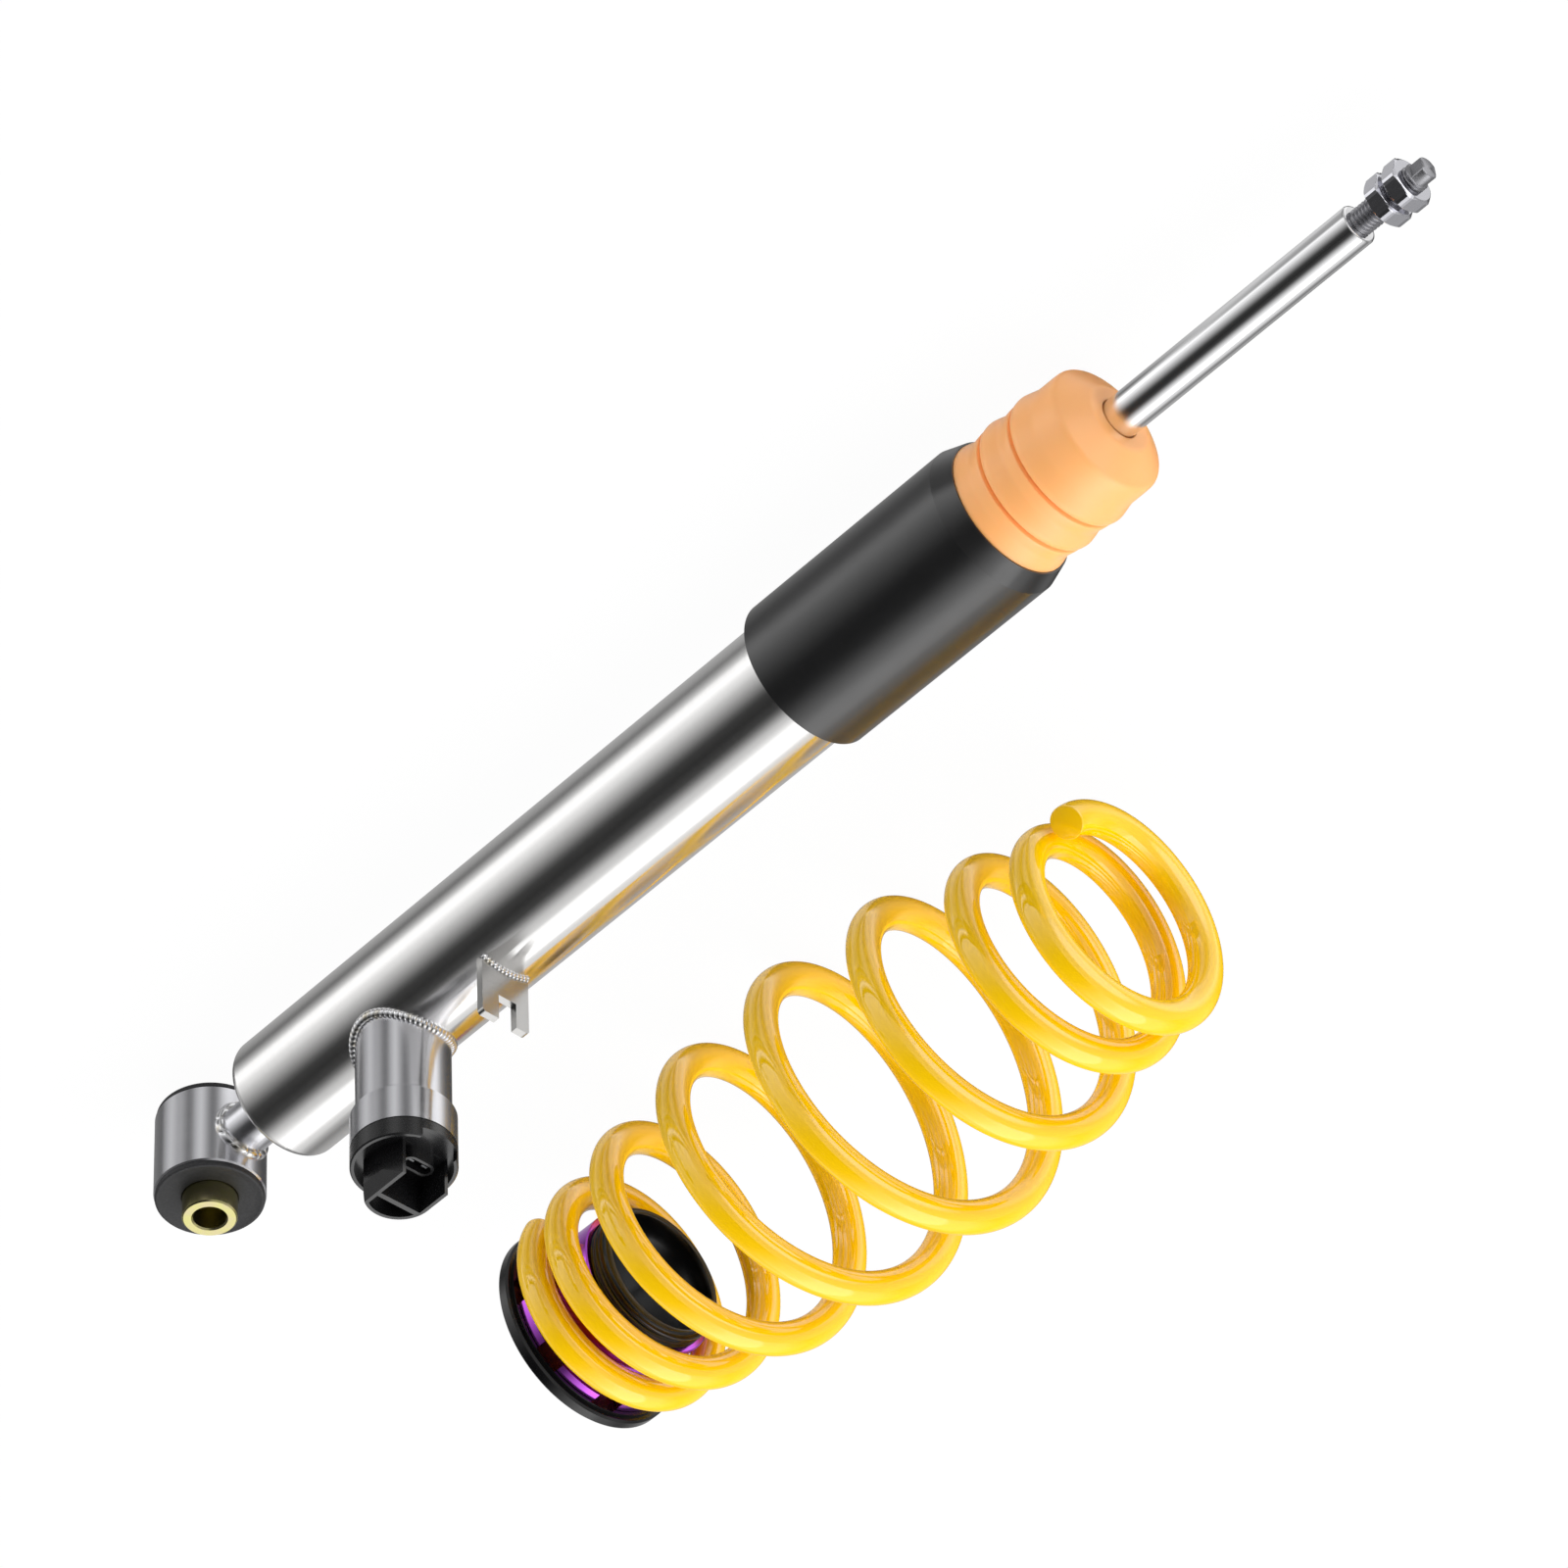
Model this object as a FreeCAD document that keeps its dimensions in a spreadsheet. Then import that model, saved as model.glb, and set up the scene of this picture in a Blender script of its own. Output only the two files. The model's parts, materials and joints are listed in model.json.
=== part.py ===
"""Rear suspension set: a damper with an electric side valve, and its barrel coil spring on a
perch whose height is set with a screw ring.

Frame: the origin is the centre of the lower eye, +X runs along the damper to the end of its
rod, and +Z runs along the eye's bore and the side valve. The damper lies with its valve upward,
and the spring lies beside it on the -Y side, on an axis parallel to it. Lengths are millimetres.
"""
import FreeCAD, Part
import Sketcher
import math
import os

Vector = FreeCAD.Vector
doc = FreeCAD.newDocument("RearDamperAndSpring")

# ---------------------------------------------------------------- driving dimensions
DIMENSIONS = {
    # gaps: a shaft in its hole, two bodies that pass each other
    "running_fit": 0.06,
    "body_gap": 0.3,
    # lower eye
    "eye_radius": 21.0,
    "eye_wall": 3.0,
    "eye_half_length": 18.0,
    "bush_flange_radius": 20.6,
    "bush_half_length": 20.3,
    "bush_dish": 1.0,
    "core_radius": 10.35,
    "core_bore": 6.25,
    "core_half_length": 29.0,
    "core_chamfer": 0.6,
    "neck_radius": 10.0,
    "eye_bead": 2.3,
    # damper tube
    "tube_radius": 25.0,
    "tube_wall": 2.5,
    "tube_bottom": 42.3,
    "tube_floor": 4.5,
    "tube_corner": 3.5,
    "tube_top": 402.0,
    "tube_lip": 1.6,
    "tube_lip_reach": 3.5,
    "tube_top_corner": 1.2,
    # tubes inside it
    "pressure_bore": 16.0,
    "pressure_wall": 1.5,
    "pressure_start": 56.0,
    "pressure_end": 388.0,
    "pressure_port_radius": 2.5,
    "pressure_port_x": 370.0,
    "transfer_bore": 19.0,
    "transfer_wall": 1.0,
    "transfer_start": 72.0,
    "transfer_end": 380.0,
    "transfer_neck": 6.0,
    "transfer_shoulder": 4.0,
    "foot_thick": 4.0,
    "foot_port": 5.0,
    "foot_relief": 3.0,
    "foot_spigot": 7.0,
    # rod and what it carries
    "rod_radius": 7.5,
    "rod_shoulder": 609.3,
    "rod_chamfer": 0.8,
    "rod_tail": 362.0,
    "tail_radius": 5.0,
    "tail_end": 333.0,
    "stud_radius": 5.0,
    "stud_end": 636.4,
    "stud_chamfer": 0.7,
    "pin_radius": 4.2,
    "pin_end": 641.5,
    "pin_chamfer": 0.5,
    "pin_flat": 3.25,
    "pin_flat_angle": 93.0,
    "piston_thick": 15.0,
    "band_width": 9.0,
    "band_thick": 1.2,
    "shim_thick": 2.4,
    "shim_radius": 12.5,
    "piston_nut_thick": 8.0,
    "piston_nut_flats": 17.0,
    "rebound_thick": 6.0,
    "rebound_radius": 11.5,
    # rod guide at the tube's top
    "guide_start": 376.0,
    "guide_bush_wall": 1.0,
    "guide_bush_length": 14.0,
    "seal_thick": 6.0,
    "seal_radius": 14.0,
    "seal_lip": 1.2,
    "cap_thick": 2.0,
    "cap_wall": 1.2,
    "cap_skirt": 11.0,
    "cap_hole": 9.5,
    # nuts on the stud
    "nut_flats": 17.0,
    "nut_thick": 6.3,
    "nut_back": 16.7,
    "nut_pitch": 8.2,
    "nut_turn": 16.8,
    "nut_crown": 30.0,
    # bump stop and dust sleeve
    "stop_start": 414.0,
    "stop_foot_radius": 20.5,
    "stop_neck_radius": 24.0,
    "stop_first_valley": 445.3,
    "stop_lobe_pitch": 15.2,
    "stop_slit_shift": 6.1,
    "stop_slit_width": 1.5,
    "stop_slit_radius": 24.0,
    "stop_lip_radius": 25.9,
    "stop_lobe_shift": 2.8,
    "stop_lobe_radius": 26.5,
    "stop_flank_shift": 5.9,
    "stop_flank_radius": 26.0,
    "stop_head_radius": 24.85,
    "stop_head_end": 487.8,
    "stop_face_radius": 13.3,
    "stop_top": 494.2,
    "stop_mouth_radius": 8.2,
    "stop_mouth_depth": 8.0,
    "sleeve_radius": 29.6,
    "sleeve_wall": 2.1,
    "sleeve_start": 335.4,
    "sleeve_shoulder": 431.2,
    "sleeve_end": 439.5,
    "sleeve_mouth": 27.0,
    "sleeve_lip": 0.6,
    # side valve
    "valve_x": 112.8,
    "housing_radius": 17.55,
    "housing_bore": 15.6,
    "housing_big_radius": 19.5,
    "housing_step": 54.5,
    "housing_bevel": 2.0,
    "housing_end": 71.2,
    "housing_floor": 34.0,
    "housing_bead": 1.8,
    "port_radius": 5.0,
    "port_wall": 1.6,
    "seat_flange": 3.0,
    "seat_rim": 2.0,
    "seat_rim_height": 11.0,
    "seat_stem": 8.0,
    "spool_stroke": 1.2,
    "spool_disc": 5.2,
    "spool_disc_thick": 2.0,
    "spool_stem": 2.2,
    "spool_stem_length": 4.6,
    "armature_radius": 6.4,
    "armature_length": 9.0,
    "coil_clearance": 0.5,
    "coil_length": 18.0,
    "disc_spring_rise": 1.4,
    "disc_spring_thick": 0.6,
    "disc_spring_hole": 3.0,
    "ring_wire": 0.8,
    # connector on the valve
    "collar_height": 8.2,
    "collar_wall": 1.6,
    "collar_floor": 4.0,
    "seam_depth": 0.7,
    "seam_height": 0.5,
    "shroud_end": 90.6,
    "shroud_round": 12.9,
    "shroud_shift": 2.6,
    "shroud_open": 8.8,
    "shroud_back": 10.9,
    "shroud_back_low": 7.8,
    "shroud_back_turn": 0.9,
    "shroud_slope": 4.6,
    "shroud_wall": 1.4,
    "shroud_bar": 6.3,
    "shroud_bar_half": 1.0,
    "recess_depth": 7.0,
    "socket_length": 13.0,
    "socket_width": 6.8,
    "socket_height": 5.5,
    "socket_wall": 1.1,
    "socket_out": 5.6,
    "socket_aside": 1.7,
    "blade_width": 2.4,
    "blade_thick": 0.8,
    "blade_height": 4.0,
    "blade_pitch": 6.0,
    # cable bracket
    "bracket_face": 170.0,
    "bracket_thick": 3.0,
    "bracket_half_width": 10.75,
    "bracket_shift": 0.25,
    "bracket_tip": 48.8,
    "bracket_corner": 1.5,
    "slot_width": 8.1,
    "slot_depth": 11.2,
    "slot_shift": 1.05,
    "bracket_bead": 1.5,
    # spring and perch, on an axis of their own
    "perch_y": 145.8,
    "base_reach": 13.5,
    "base_start": 41.3,
    "base_thick": 5.2,
    "base_corner": 0.8,
    "pot_radius": 28.3,
    "pot_wall": 3.8,
    "pot_end": 87.5,
    "pot_chamfer": 2.0,
    "step_reach": 11.2,
    "step_thick": 1.4,
    "crown_reach": 9.7,
    "crown_step": 2.7,
    "crown_slots": 8.0,
    "crown_slot_width": 11.2,
    "crown_turn": 50.6,
    "neck_ring_wall": 2.2,
    "neck_ring_end": 79.0,
    "neck_ring_chamfer": 0.5,
    # coil spring: a barrel of round wire, close at both ends and open at its belly
    "wire_radius": 6.4,
    "coil_reach": 11.3,
    "coil_belly": 18.7,
    "coil_start": 58.3,
    "end_rise": 13.65,
    "belly_rise": 39.25,
}

# the barrel's shape along its turns: where the belly and the wide pitch begin and end, and how
# full and how skewed they are
COIL_FROM = 0.034
COIL_TO = 8.009
COIL_PHASE = -40.5
BELLY_SPAN = (0.1, 6.92)
BELLY_SKEW = 1.26
BELLY_POWER = 1.65
RISE_SPAN = (0.3, 7.556)
RISE_POWER = 1.09

sheet = doc.addObject("Spreadsheet::Sheet", "Dims")
for row, (word, amount) in enumerate(DIMENSIONS.items(), start=1):
    sheet.set(f"A{row}", word)
    sheet.set(f"B{row}", str(amount))
    sheet.setAlias(f"B{row}", word)
doc.recompute()


# ---------------------------------------------------------------- sizes that know their formula
class Size:
    """A number together with the formula of sheet cells that gives it."""

    def __init__(self, number, formula):
        self.number = number
        self.formula = formula

    def __float__(self):
        return self.number

    def __neg__(self):
        return Size(-self.number, f"-({self.formula})")

    def __add__(self, other):
        other = as_size(other)
        return Size(self.number + other.number, f"({self.formula} + {other.formula})")

    def __sub__(self, other):
        other = as_size(other)
        return Size(self.number - other.number, f"({self.formula} - {other.formula})")

    def __mul__(self, other):
        other = as_size(other)
        return Size(self.number * other.number, f"({self.formula} * {other.formula})")

    def __truediv__(self, other):
        other = as_size(other)
        return Size(self.number / other.number, f"({self.formula} / {other.formula})")

    __radd__ = __add__
    __rmul__ = __mul__


def as_size(thing):
    """The thing as a Size: a plain number stands for itself."""
    return thing if isinstance(thing, Size) else Size(float(thing), repr(float(thing)))


class Sizes:
    """The sheet's cells as attributes."""


d = Sizes()
for word in DIMENSIONS:
    setattr(d, word, Size(float(sheet.get(word)), f"Dims.{word}"))
ZERO = as_size(0)

# places that several pieces share
floor_z = -d.sleeve_radius
perch_y = -d.perch_y
pot_bore = d.pot_radius - d.pot_wall
base_radius = d.pot_radius + d.base_reach
step_radius = d.pot_radius + d.step_reach
crown_radius = d.pot_radius + d.crown_reach
crown_inside = d.pot_radius + d.crown_step
neck_ring_radius = d.pot_radius + d.neck_ring_wall
coil_end_radius = d.pot_radius + d.coil_reach
belly_radius = coil_end_radius + d.coil_belly + d.wire_radius
perch_z = floor_z + belly_radius
tube_bore = d.tube_radius - d.tube_wall
tube_floor_x = d.tube_bottom + d.tube_floor
pressure_radius = d.pressure_bore + d.pressure_wall
transfer_radius = d.transfer_bore + d.transfer_wall
guide_top = d.tube_top - d.tube_lip
nut_first = d.stud_end - d.nut_back
nodes = []


# ---------------------------------------------------------------- ways of making pieces
def new_body(node, at=(ZERO, ZERO, ZERO)):
    """An empty PartDesign body named after its node, standing at a place of the sheet."""
    body = doc.addObject("PartDesign::Body", node)
    body.Label = node
    for letter, length in zip("xyz", at):
        body.setExpression(f"Placement.Base.{letter}", as_size(length).formula)
    nodes.append(body)
    return body


def new_sketch(body, plane, name, height=ZERO):
    """A sketch on one of the body's own origin planes, or at a height over it."""
    sketch = body.newObject("Sketcher::SketchObject", name)
    support = [item for item in body.Origin.OriginFeatures if item.Role == plane]
    sketch.AttachmentSupport = [(support[0], "")]
    sketch.MapMode = "FlatFace"
    sketch.setExpression("AttachmentOffset.Base.z", as_size(height).formula)
    return sketch


def pin(sketch, kind, piece, point, length):
    """Hold a point of a sketch's piece at a signed distance from the sketch's origin."""
    length = as_size(length)
    held = sketch.addConstraint(Sketcher.Constraint(kind, piece, point, length.number))
    sketch.setExpression(f"Constraints[{held}]", length.formula)


def draw_outline(sketch, points):
    """Straight lines round the points, every corner held in place by the sheet."""
    points = [(as_size(across), as_size(up)) for across, up in points]
    first = sketch.GeometryCount
    count = len(points)
    for index in range(count):
        start = Vector(float(points[index][0]), float(points[index][1]), 0)
        after = points[(index + 1) % count]
        sketch.addGeometry(Part.LineSegment(start, Vector(float(after[0]), float(after[1]), 0)))
    for index in range(count):
        after = first + (index + 1) % count
        sketch.addConstraint(Sketcher.Constraint("Coincident", first + index, 2, after, 1))
    for index, (across, up) in enumerate(points):
        pin(sketch, "DistanceX", first + index, 1, across)
        pin(sketch, "DistanceY", first + index, 1, up)


def draw_circle(sketch, radius, across=ZERO, up=ZERO):
    """A circle whose centre and radius follow the sheet."""
    radius = as_size(radius)
    centre = Vector(float(across), float(up), 0)
    piece = sketch.addGeometry(Part.Circle(centre, Vector(0, 0, 1), radius.number))
    held = sketch.addConstraint(Sketcher.Constraint("Radius", piece, radius.number))
    sketch.setExpression(f"Constraints[{held}]", radius.formula)
    pin(sketch, "DistanceX", piece, 3, across)
    pin(sketch, "DistanceY", piece, 3, up)


def turned(node, axis, outline, at=(ZERO, ZERO, ZERO)):
    """A body of revolution about X, from (x, r) corners, or about Z, from (r, z) corners."""
    body = new_body(node, at)
    sketch = new_sketch(body, "XZ_Plane", f"{node}_outline")
    draw_outline(sketch, outline)
    turn = body.newObject("PartDesign::Revolution", f"{node}_turn")
    turn.Profile = sketch
    turn.ReferenceAxis = (sketch, ["H_Axis" if axis == "X" else "V_Axis"])
    turn.Angle = 360
    doc.recompute()
    return body


def ring_outline(start, end, inner, outer, chamfer=ZERO):
    """Corners (x, r) of a plain ring about X, its two outer rims chamfered."""
    if not float(chamfer):
        return [(start, inner), (end, inner), (end, outer), (start, outer)]
    return [(start, inner), (end, inner), (end, outer - chamfer), (end - chamfer, outer),
            (start + chamfer, outer), (start, outer - chamfer)]


def swap(outline):
    """Corners for a turn about Z from corners written for a turn about X."""
    return [(radius, along) for along, radius in outline]


def pad(body, plane, name, draw, length, height=ZERO):
    """Add a sketch to the body by a length, from its plane or from a height over it."""
    sketch = new_sketch(body, plane, f"{name}_outline", height)
    draw(sketch)
    added = body.newObject("PartDesign::Pad", name)
    added.Profile = sketch
    added.setExpression("Length", as_size(length).formula)
    doc.recompute()


def pocket(body, plane, name, draw, depth=None, away=False, both=False, height=ZERO):
    """Cut a sketch out of the body, by a depth or through all, and see that it took something."""
    before = body.Shape.Volume
    sketch = new_sketch(body, plane, f"{name}_outline", height)
    draw(sketch)
    cut = body.newObject("PartDesign::Pocket", name)
    cut.Profile = sketch
    if depth is None:
        cut.Type = "ThroughAll"
    else:
        cut.setExpression("Length", as_size(depth).formula)
    cut.Reversed = away
    cut.Midplane = both
    doc.recompute()
    if not body.Shape.Volume < before:
        raise ValueError(f"{name} cuts nothing")
    return cut


def repeat_round(body, feature, axis_role, copies, name):
    """Repeat a feature round one of the body's origin axes."""
    before = body.Shape.Volume
    pattern = body.newObject("PartDesign::PolarPattern", name)
    pattern.Originals = [feature]
    axis = [item for item in body.Origin.OriginFeatures if item.Role == axis_role]
    pattern.Axis = (axis[0], [""])
    pattern.Angle = 360
    pattern.Occurrences = int(float(copies))
    body.Tip = pattern
    doc.recompute()
    if body.Shape.Volume == before:
        raise ValueError(f"{name} repeats nothing")


def circle_at(axis, along, size):
    """A test for circular edges of one radius, centred at one coordinate of an axis."""
    def fits(edge):
        curve = edge.Curve
        if not isinstance(curve, Part.Circle):
            return False
        centre = getattr(curve.Center, axis)
        return abs(centre - float(along)) < 1e-3 and abs(curve.Radius - float(size)) < 1e-3
    return fits


def line_along_x(places):
    """A test for straight edges along X that pass through one of the (y, z) places."""
    def fits(edge):
        low, high = edge.Vertexes[0].Point, edge.Vertexes[-1].Point
        if abs(low.y - high.y) > 1e-3 or abs(low.z - high.z) > 1e-3:
            return False
        return any(abs(low.y - float(y)) < 1e-3 and abs(low.z - float(z)) < 1e-3 for y, z in places)
    return fits


def round_edges(body, radius, fits, name):
    """Round every edge of the body that passes the test."""
    base = body.Tip
    chosen = [f"Edge{index}" for index, edge in enumerate(base.Shape.Edges, start=1) if fits(edge)]
    if not chosen:
        raise ValueError(f"{name} finds no edge")
    fillet = body.newObject("PartDesign::Fillet", name)
    fillet.Base = (base, chosen)
    fillet.setExpression("Radius", as_size(radius).formula)
    doc.recompute()


def place(thing, at, turn=None):
    """Stand a primitive at a place of the sheet, turned by an axis and an angle if given."""
    if turn:
        thing.Placement = FreeCAD.Placement(Vector(), FreeCAD.Rotation(*turn))
    for letter, length in zip("xyz", at):
        thing.setExpression(f"Placement.Base.{letter}", as_size(length).formula)


def rod_shape(name, radius, length, at=(ZERO, ZERO, ZERO), axis="X"):
    """A cylinder primitive that grows along X or Z from its place."""
    thing = doc.addObject("Part::Cylinder", name)
    thing.setExpression("Radius", as_size(radius).formula)
    thing.setExpression("Height", as_size(length).formula)
    place(thing, at, (Vector(0, 1, 0), 90) if axis == "X" else None)
    return thing


def block(name, size, at):
    """A box primitive with its low corner at a place."""
    thing = doc.addObject("Part::Box", name)
    for side, length in zip(("Length", "Width", "Height"), size):
        thing.setExpression(side, as_size(length).formula)
    place(thing, at)
    return thing


def combine(kind, name, base, tool, is_node=False):
    """One boolean, Cut, Common or Fuse, of two shapes."""
    thing = doc.addObject(f"Part::{kind}", name)
    thing.Base = base
    thing.Tool = tool
    if is_node:
        thing.Label = name
        nodes.append(thing)
    return thing


def bead(node, post_radius, post_axis, at, carrier_radius, carrier_axis, size, half=True):
    """A weld bead round a post where it stands on a round carrier of another axis.

    The bead lies outside both and reaches one bead size out from each. With half, only the
    side of the carrier that the post stands on has it.
    """
    long = as_size(200)
    start = {"X": (-long / 2, ZERO, ZERO), "Z": (ZERO, ZERO, -long / 2)}
    around = rod_shape(f"{node}_around", post_radius + size, long / 2, at, post_axis)
    post = rod_shape(f"{node}_post", post_radius, long / 2, at, post_axis)
    middle = start[carrier_axis]
    along = as_size(at[0]) if carrier_axis == "X" else ZERO
    centre = (middle[0] + along, middle[1], middle[2])
    near = rod_shape(f"{node}_near", carrier_radius + size, long, centre, carrier_axis)
    carrier = rod_shape(f"{node}_carrier", carrier_radius, long, centre, carrier_axis)
    ring = combine("Cut", f"{node}_ring", around, post)
    skin = combine("Cut", f"{node}_skin", near, carrier)
    return combine("Common", node, ring, skin, is_node=True)


# ---------------------------------------------------------------- lower eye
def make_eye():
    """Steel eye with its rubber bush and inner sleeve, and the neck that carries the tube."""
    inner = d.eye_radius - d.eye_wall
    half = d.eye_half_length
    turned("eye_sleeve", "Z", swap(ring_outline(-half, half, inner, d.eye_radius, d.core_chamfer)))

    bore = d.core_radius + d.running_fit
    tip = d.bush_half_length
    dished = tip - d.bush_dish
    turned("eye_rubber_bush", "Z", [
        (bore, -dished), (inner, -tip), (d.bush_flange_radius, -tip),
        (d.bush_flange_radius, -half), (inner, -half), (inner, half),
        (d.bush_flange_radius, half), (d.bush_flange_radius, tip), (inner, tip), (bore, dished),
    ])

    length = d.core_half_length
    turned("eye_inner_sleeve", "Z", [
        (d.core_bore, -length + d.core_chamfer), (d.core_bore + d.core_chamfer, -length),
        (d.core_radius - d.core_chamfer, -length), (d.core_radius, -length + d.core_chamfer),
        (d.core_radius, length - d.core_chamfer), (d.core_radius - d.core_chamfer, length),
        (d.core_bore + d.core_chamfer, length), (d.core_bore, length - d.core_chamfer),
    ])

    post = rod_shape("neck_post", d.neck_radius, d.tube_bottom)
    ring = rod_shape("neck_saddle", d.eye_radius, half * 2, (ZERO, ZERO, -half), "Z")
    combine("Cut", "eye_neck", post, ring, is_node=True)
    bead("eye_weld", d.neck_radius, "X", (ZERO, ZERO, ZERO), d.eye_radius, "Z", d.eye_bead)


# ---------------------------------------------------------------- damper tube and its inside
def make_tube():
    """Outer tube: closed round bottom, top edge rolled in over the rod guide, port to the valve."""
    lip = tube_bore - d.tube_lip_reach
    body = turned("damper_tube", "X", [
        (d.tube_bottom, ZERO), (d.tube_bottom, d.tube_radius), (d.tube_top, d.tube_radius),
        (d.tube_top, lip), (guide_top, lip), (guide_top, tube_bore),
        (tube_floor_x, tube_bore), (tube_floor_x, ZERO),
    ])
    port = d.port_radius + d.running_fit
    pocket(body, "XY_Plane", "tube_port", lambda s: draw_circle(s, port, d.valve_x), away=True)
    bottom = circle_at("x", d.tube_bottom, d.tube_radius)
    round_edges(body, d.tube_corner, bottom, "tube_bottom_round")
    top = circle_at("x", d.tube_top, d.tube_radius)
    round_edges(body, d.tube_top_corner, top, "tube_top_round")


def make_inner_tubes():
    """Pressure tube for the piston, and the transfer tube that leads its oil to the valve."""
    body = turned("pressure_tube", "X", ring_outline(
        d.pressure_start, d.pressure_end, d.pressure_bore, pressure_radius))
    ports = pocket(body, "XY_Plane", "pressure_port",
                   lambda s: draw_circle(s, d.pressure_port_radius, d.pressure_port_x), away=True)
    repeat_round(body, ports, "X_Axis", 4, "pressure_ports")

    neck = pressure_radius + d.running_fit
    start = d.transfer_start + d.transfer_neck
    end = d.transfer_end - d.transfer_neck
    wall = d.transfer_wall
    body = turned("transfer_tube", "X", [
        (d.transfer_start, neck), (start, neck), (start + d.transfer_shoulder, d.transfer_bore),
        (end - d.transfer_shoulder, d.transfer_bore), (end, neck), (d.transfer_end, neck),
        (d.transfer_end, neck + wall), (end, neck + wall),
        (end - d.transfer_shoulder, transfer_radius), (start + d.transfer_shoulder, transfer_radius),
        (start, neck + wall), (d.transfer_start, neck + wall),
    ])
    hole = d.port_radius - d.port_wall
    pocket(body, "XY_Plane", "transfer_port", lambda s: draw_circle(s, hole, d.valve_x), away=True)


def make_base_valve():
    """Foot valve: a disc on the tube's floor whose spigot centres the pressure tube."""
    foot = d.pressure_start
    low = foot - d.foot_thick
    turned("base_valve", "X", [
        (tube_floor_x, tube_bore - d.foot_relief), (low, tube_bore - d.foot_relief),
        (low, d.foot_port), (foot + d.foot_spigot, d.foot_port),
        (foot + d.foot_spigot, d.pressure_bore - d.running_fit),
        (foot, d.pressure_bore - d.running_fit), (foot, tube_bore - d.running_fit),
        (tube_floor_x, tube_bore - d.running_fit),
    ])


def make_rod_guide():
    """Guide that closes the tube, with its bush, its seal and the pressed cap over the top."""
    outer = tube_bore - d.running_fit
    bush = d.rod_radius + d.running_fit + d.guide_bush_wall
    seal_x = guide_top - d.seal_thick
    turned("rod_guide", "X", [
        (d.guide_start, bush), (seal_x, bush), (seal_x, d.seal_radius),
        (guide_top, d.seal_radius), (guide_top, outer), (d.pressure_end, outer),
        (d.pressure_end, d.pressure_bore - d.running_fit),
        (d.guide_start, d.pressure_bore - d.running_fit),
    ])
    slide = d.rod_radius + d.running_fit
    turned("guide_bush", "X", ring_outline(d.guide_start, d.guide_start + d.guide_bush_length,
                                           slide, bush))
    turned("rod_seal", "X", [
        (seal_x, slide), (seal_x + d.seal_lip, slide), (seal_x + d.seal_lip * 2, bush),
        (guide_top - d.seal_lip * 2, bush), (guide_top - d.seal_lip, slide), (guide_top, slide),
        (guide_top, d.seal_radius), (seal_x, d.seal_radius),
    ])
    inside = d.tube_radius + d.running_fit
    top = d.tube_top + d.cap_thick
    foot = d.tube_top - d.cap_skirt
    turned("bump_cap", "X", [
        (d.tube_top, d.cap_hole), (top, d.cap_hole), (top, inside + d.cap_wall - d.cap_thick / 2),
        (top - d.cap_thick / 2, inside + d.cap_wall), (foot, inside + d.cap_wall),
        (foot, inside), (d.tube_top, inside),
    ])


# ---------------------------------------------------------------- rod
def make_rod():
    """Chromed rod with its piston tail below and its threaded stud and flatted pin above."""
    radius = d.rod_radius
    body = turned("piston_rod", "X", [
        (d.tail_end, ZERO), (d.tail_end, d.tail_radius), (d.rod_tail, d.tail_radius),
        (d.rod_tail, radius), (d.rod_shoulder - d.rod_chamfer, radius),
        (d.rod_shoulder, radius - d.rod_chamfer), (d.rod_shoulder, d.stud_radius),
        (d.stud_end - d.stud_chamfer, d.stud_radius), (d.stud_end, d.stud_radius - d.stud_chamfer),
        (d.stud_end, d.pin_radius), (d.pin_end - d.pin_chamfer, d.pin_radius),
        (d.pin_end, d.pin_radius - d.pin_chamfer), (d.pin_end, ZERO),
    ])
    flats = pocket(body, "XY_Plane", "pin_flat_cut", lambda s: draw_outline(s, [
        (d.stud_end, -d.pin_radius), (d.pin_end, -d.pin_radius),
        (d.pin_end, -d.pin_flat), (d.stud_end, -d.pin_flat),
    ]), d.pin_radius * 2, both=True)
    repeat_round(body, flats, "X_Axis", 2, "pin_flats")
    body.Placement = FreeCAD.Placement(Vector(), Vector(1, 0, 0), float(d.pin_flat_angle) - 90)


def make_piston():
    """Piston with its slide band, the shims on both sides, the nut and the rebound stop."""
    bore = d.tail_radius + d.running_fit
    right = d.rod_tail - d.shim_thick
    left = right - d.piston_thick
    skin = d.pressure_bore - d.running_fit
    seat = skin - d.band_thick
    middle = (right + left) / 2
    turned("piston", "X", [
        (left, bore), (right, bore), (right, seat), (middle + d.band_width / 2, seat),
        (middle + d.band_width / 2, seat - d.band_thick), (middle - d.band_width / 2,
                                                           seat - d.band_thick),
        (middle - d.band_width / 2, seat), (left, seat),
    ])
    turned("piston_band", "X", ring_outline(middle - d.band_width / 2, middle + d.band_width / 2,
                                            seat - d.band_thick, skin))
    stack = doc.addObject("Part::Compound", "piston_shims")
    stack.Label = "piston_shims"
    discs = []
    for name, start in (("rebound", left - d.shim_thick), ("compression", right)):
        at = (start, ZERO, ZERO)
        disc = rod_shape(f"{name}_disc", d.shim_radius, d.shim_thick, at)
        hole = rod_shape(f"{name}_hole", bore, d.shim_thick, at)
        discs.append(combine("Cut", f"{name}_shims", disc, hole))
    stack.Links = discs
    nodes.append(stack)
    make_nut("piston_nut", [left - d.shim_thick - d.piston_nut_thick], d.piston_nut_flats,
             d.piston_nut_thick, d.tail_radius, ZERO)
    end = d.guide_start - d.body_gap
    turned("rebound_stop", "X", ring_outline(end - d.rebound_thick, end,
                                             d.rod_radius, d.rebound_radius, d.rod_chamfer))


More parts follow.
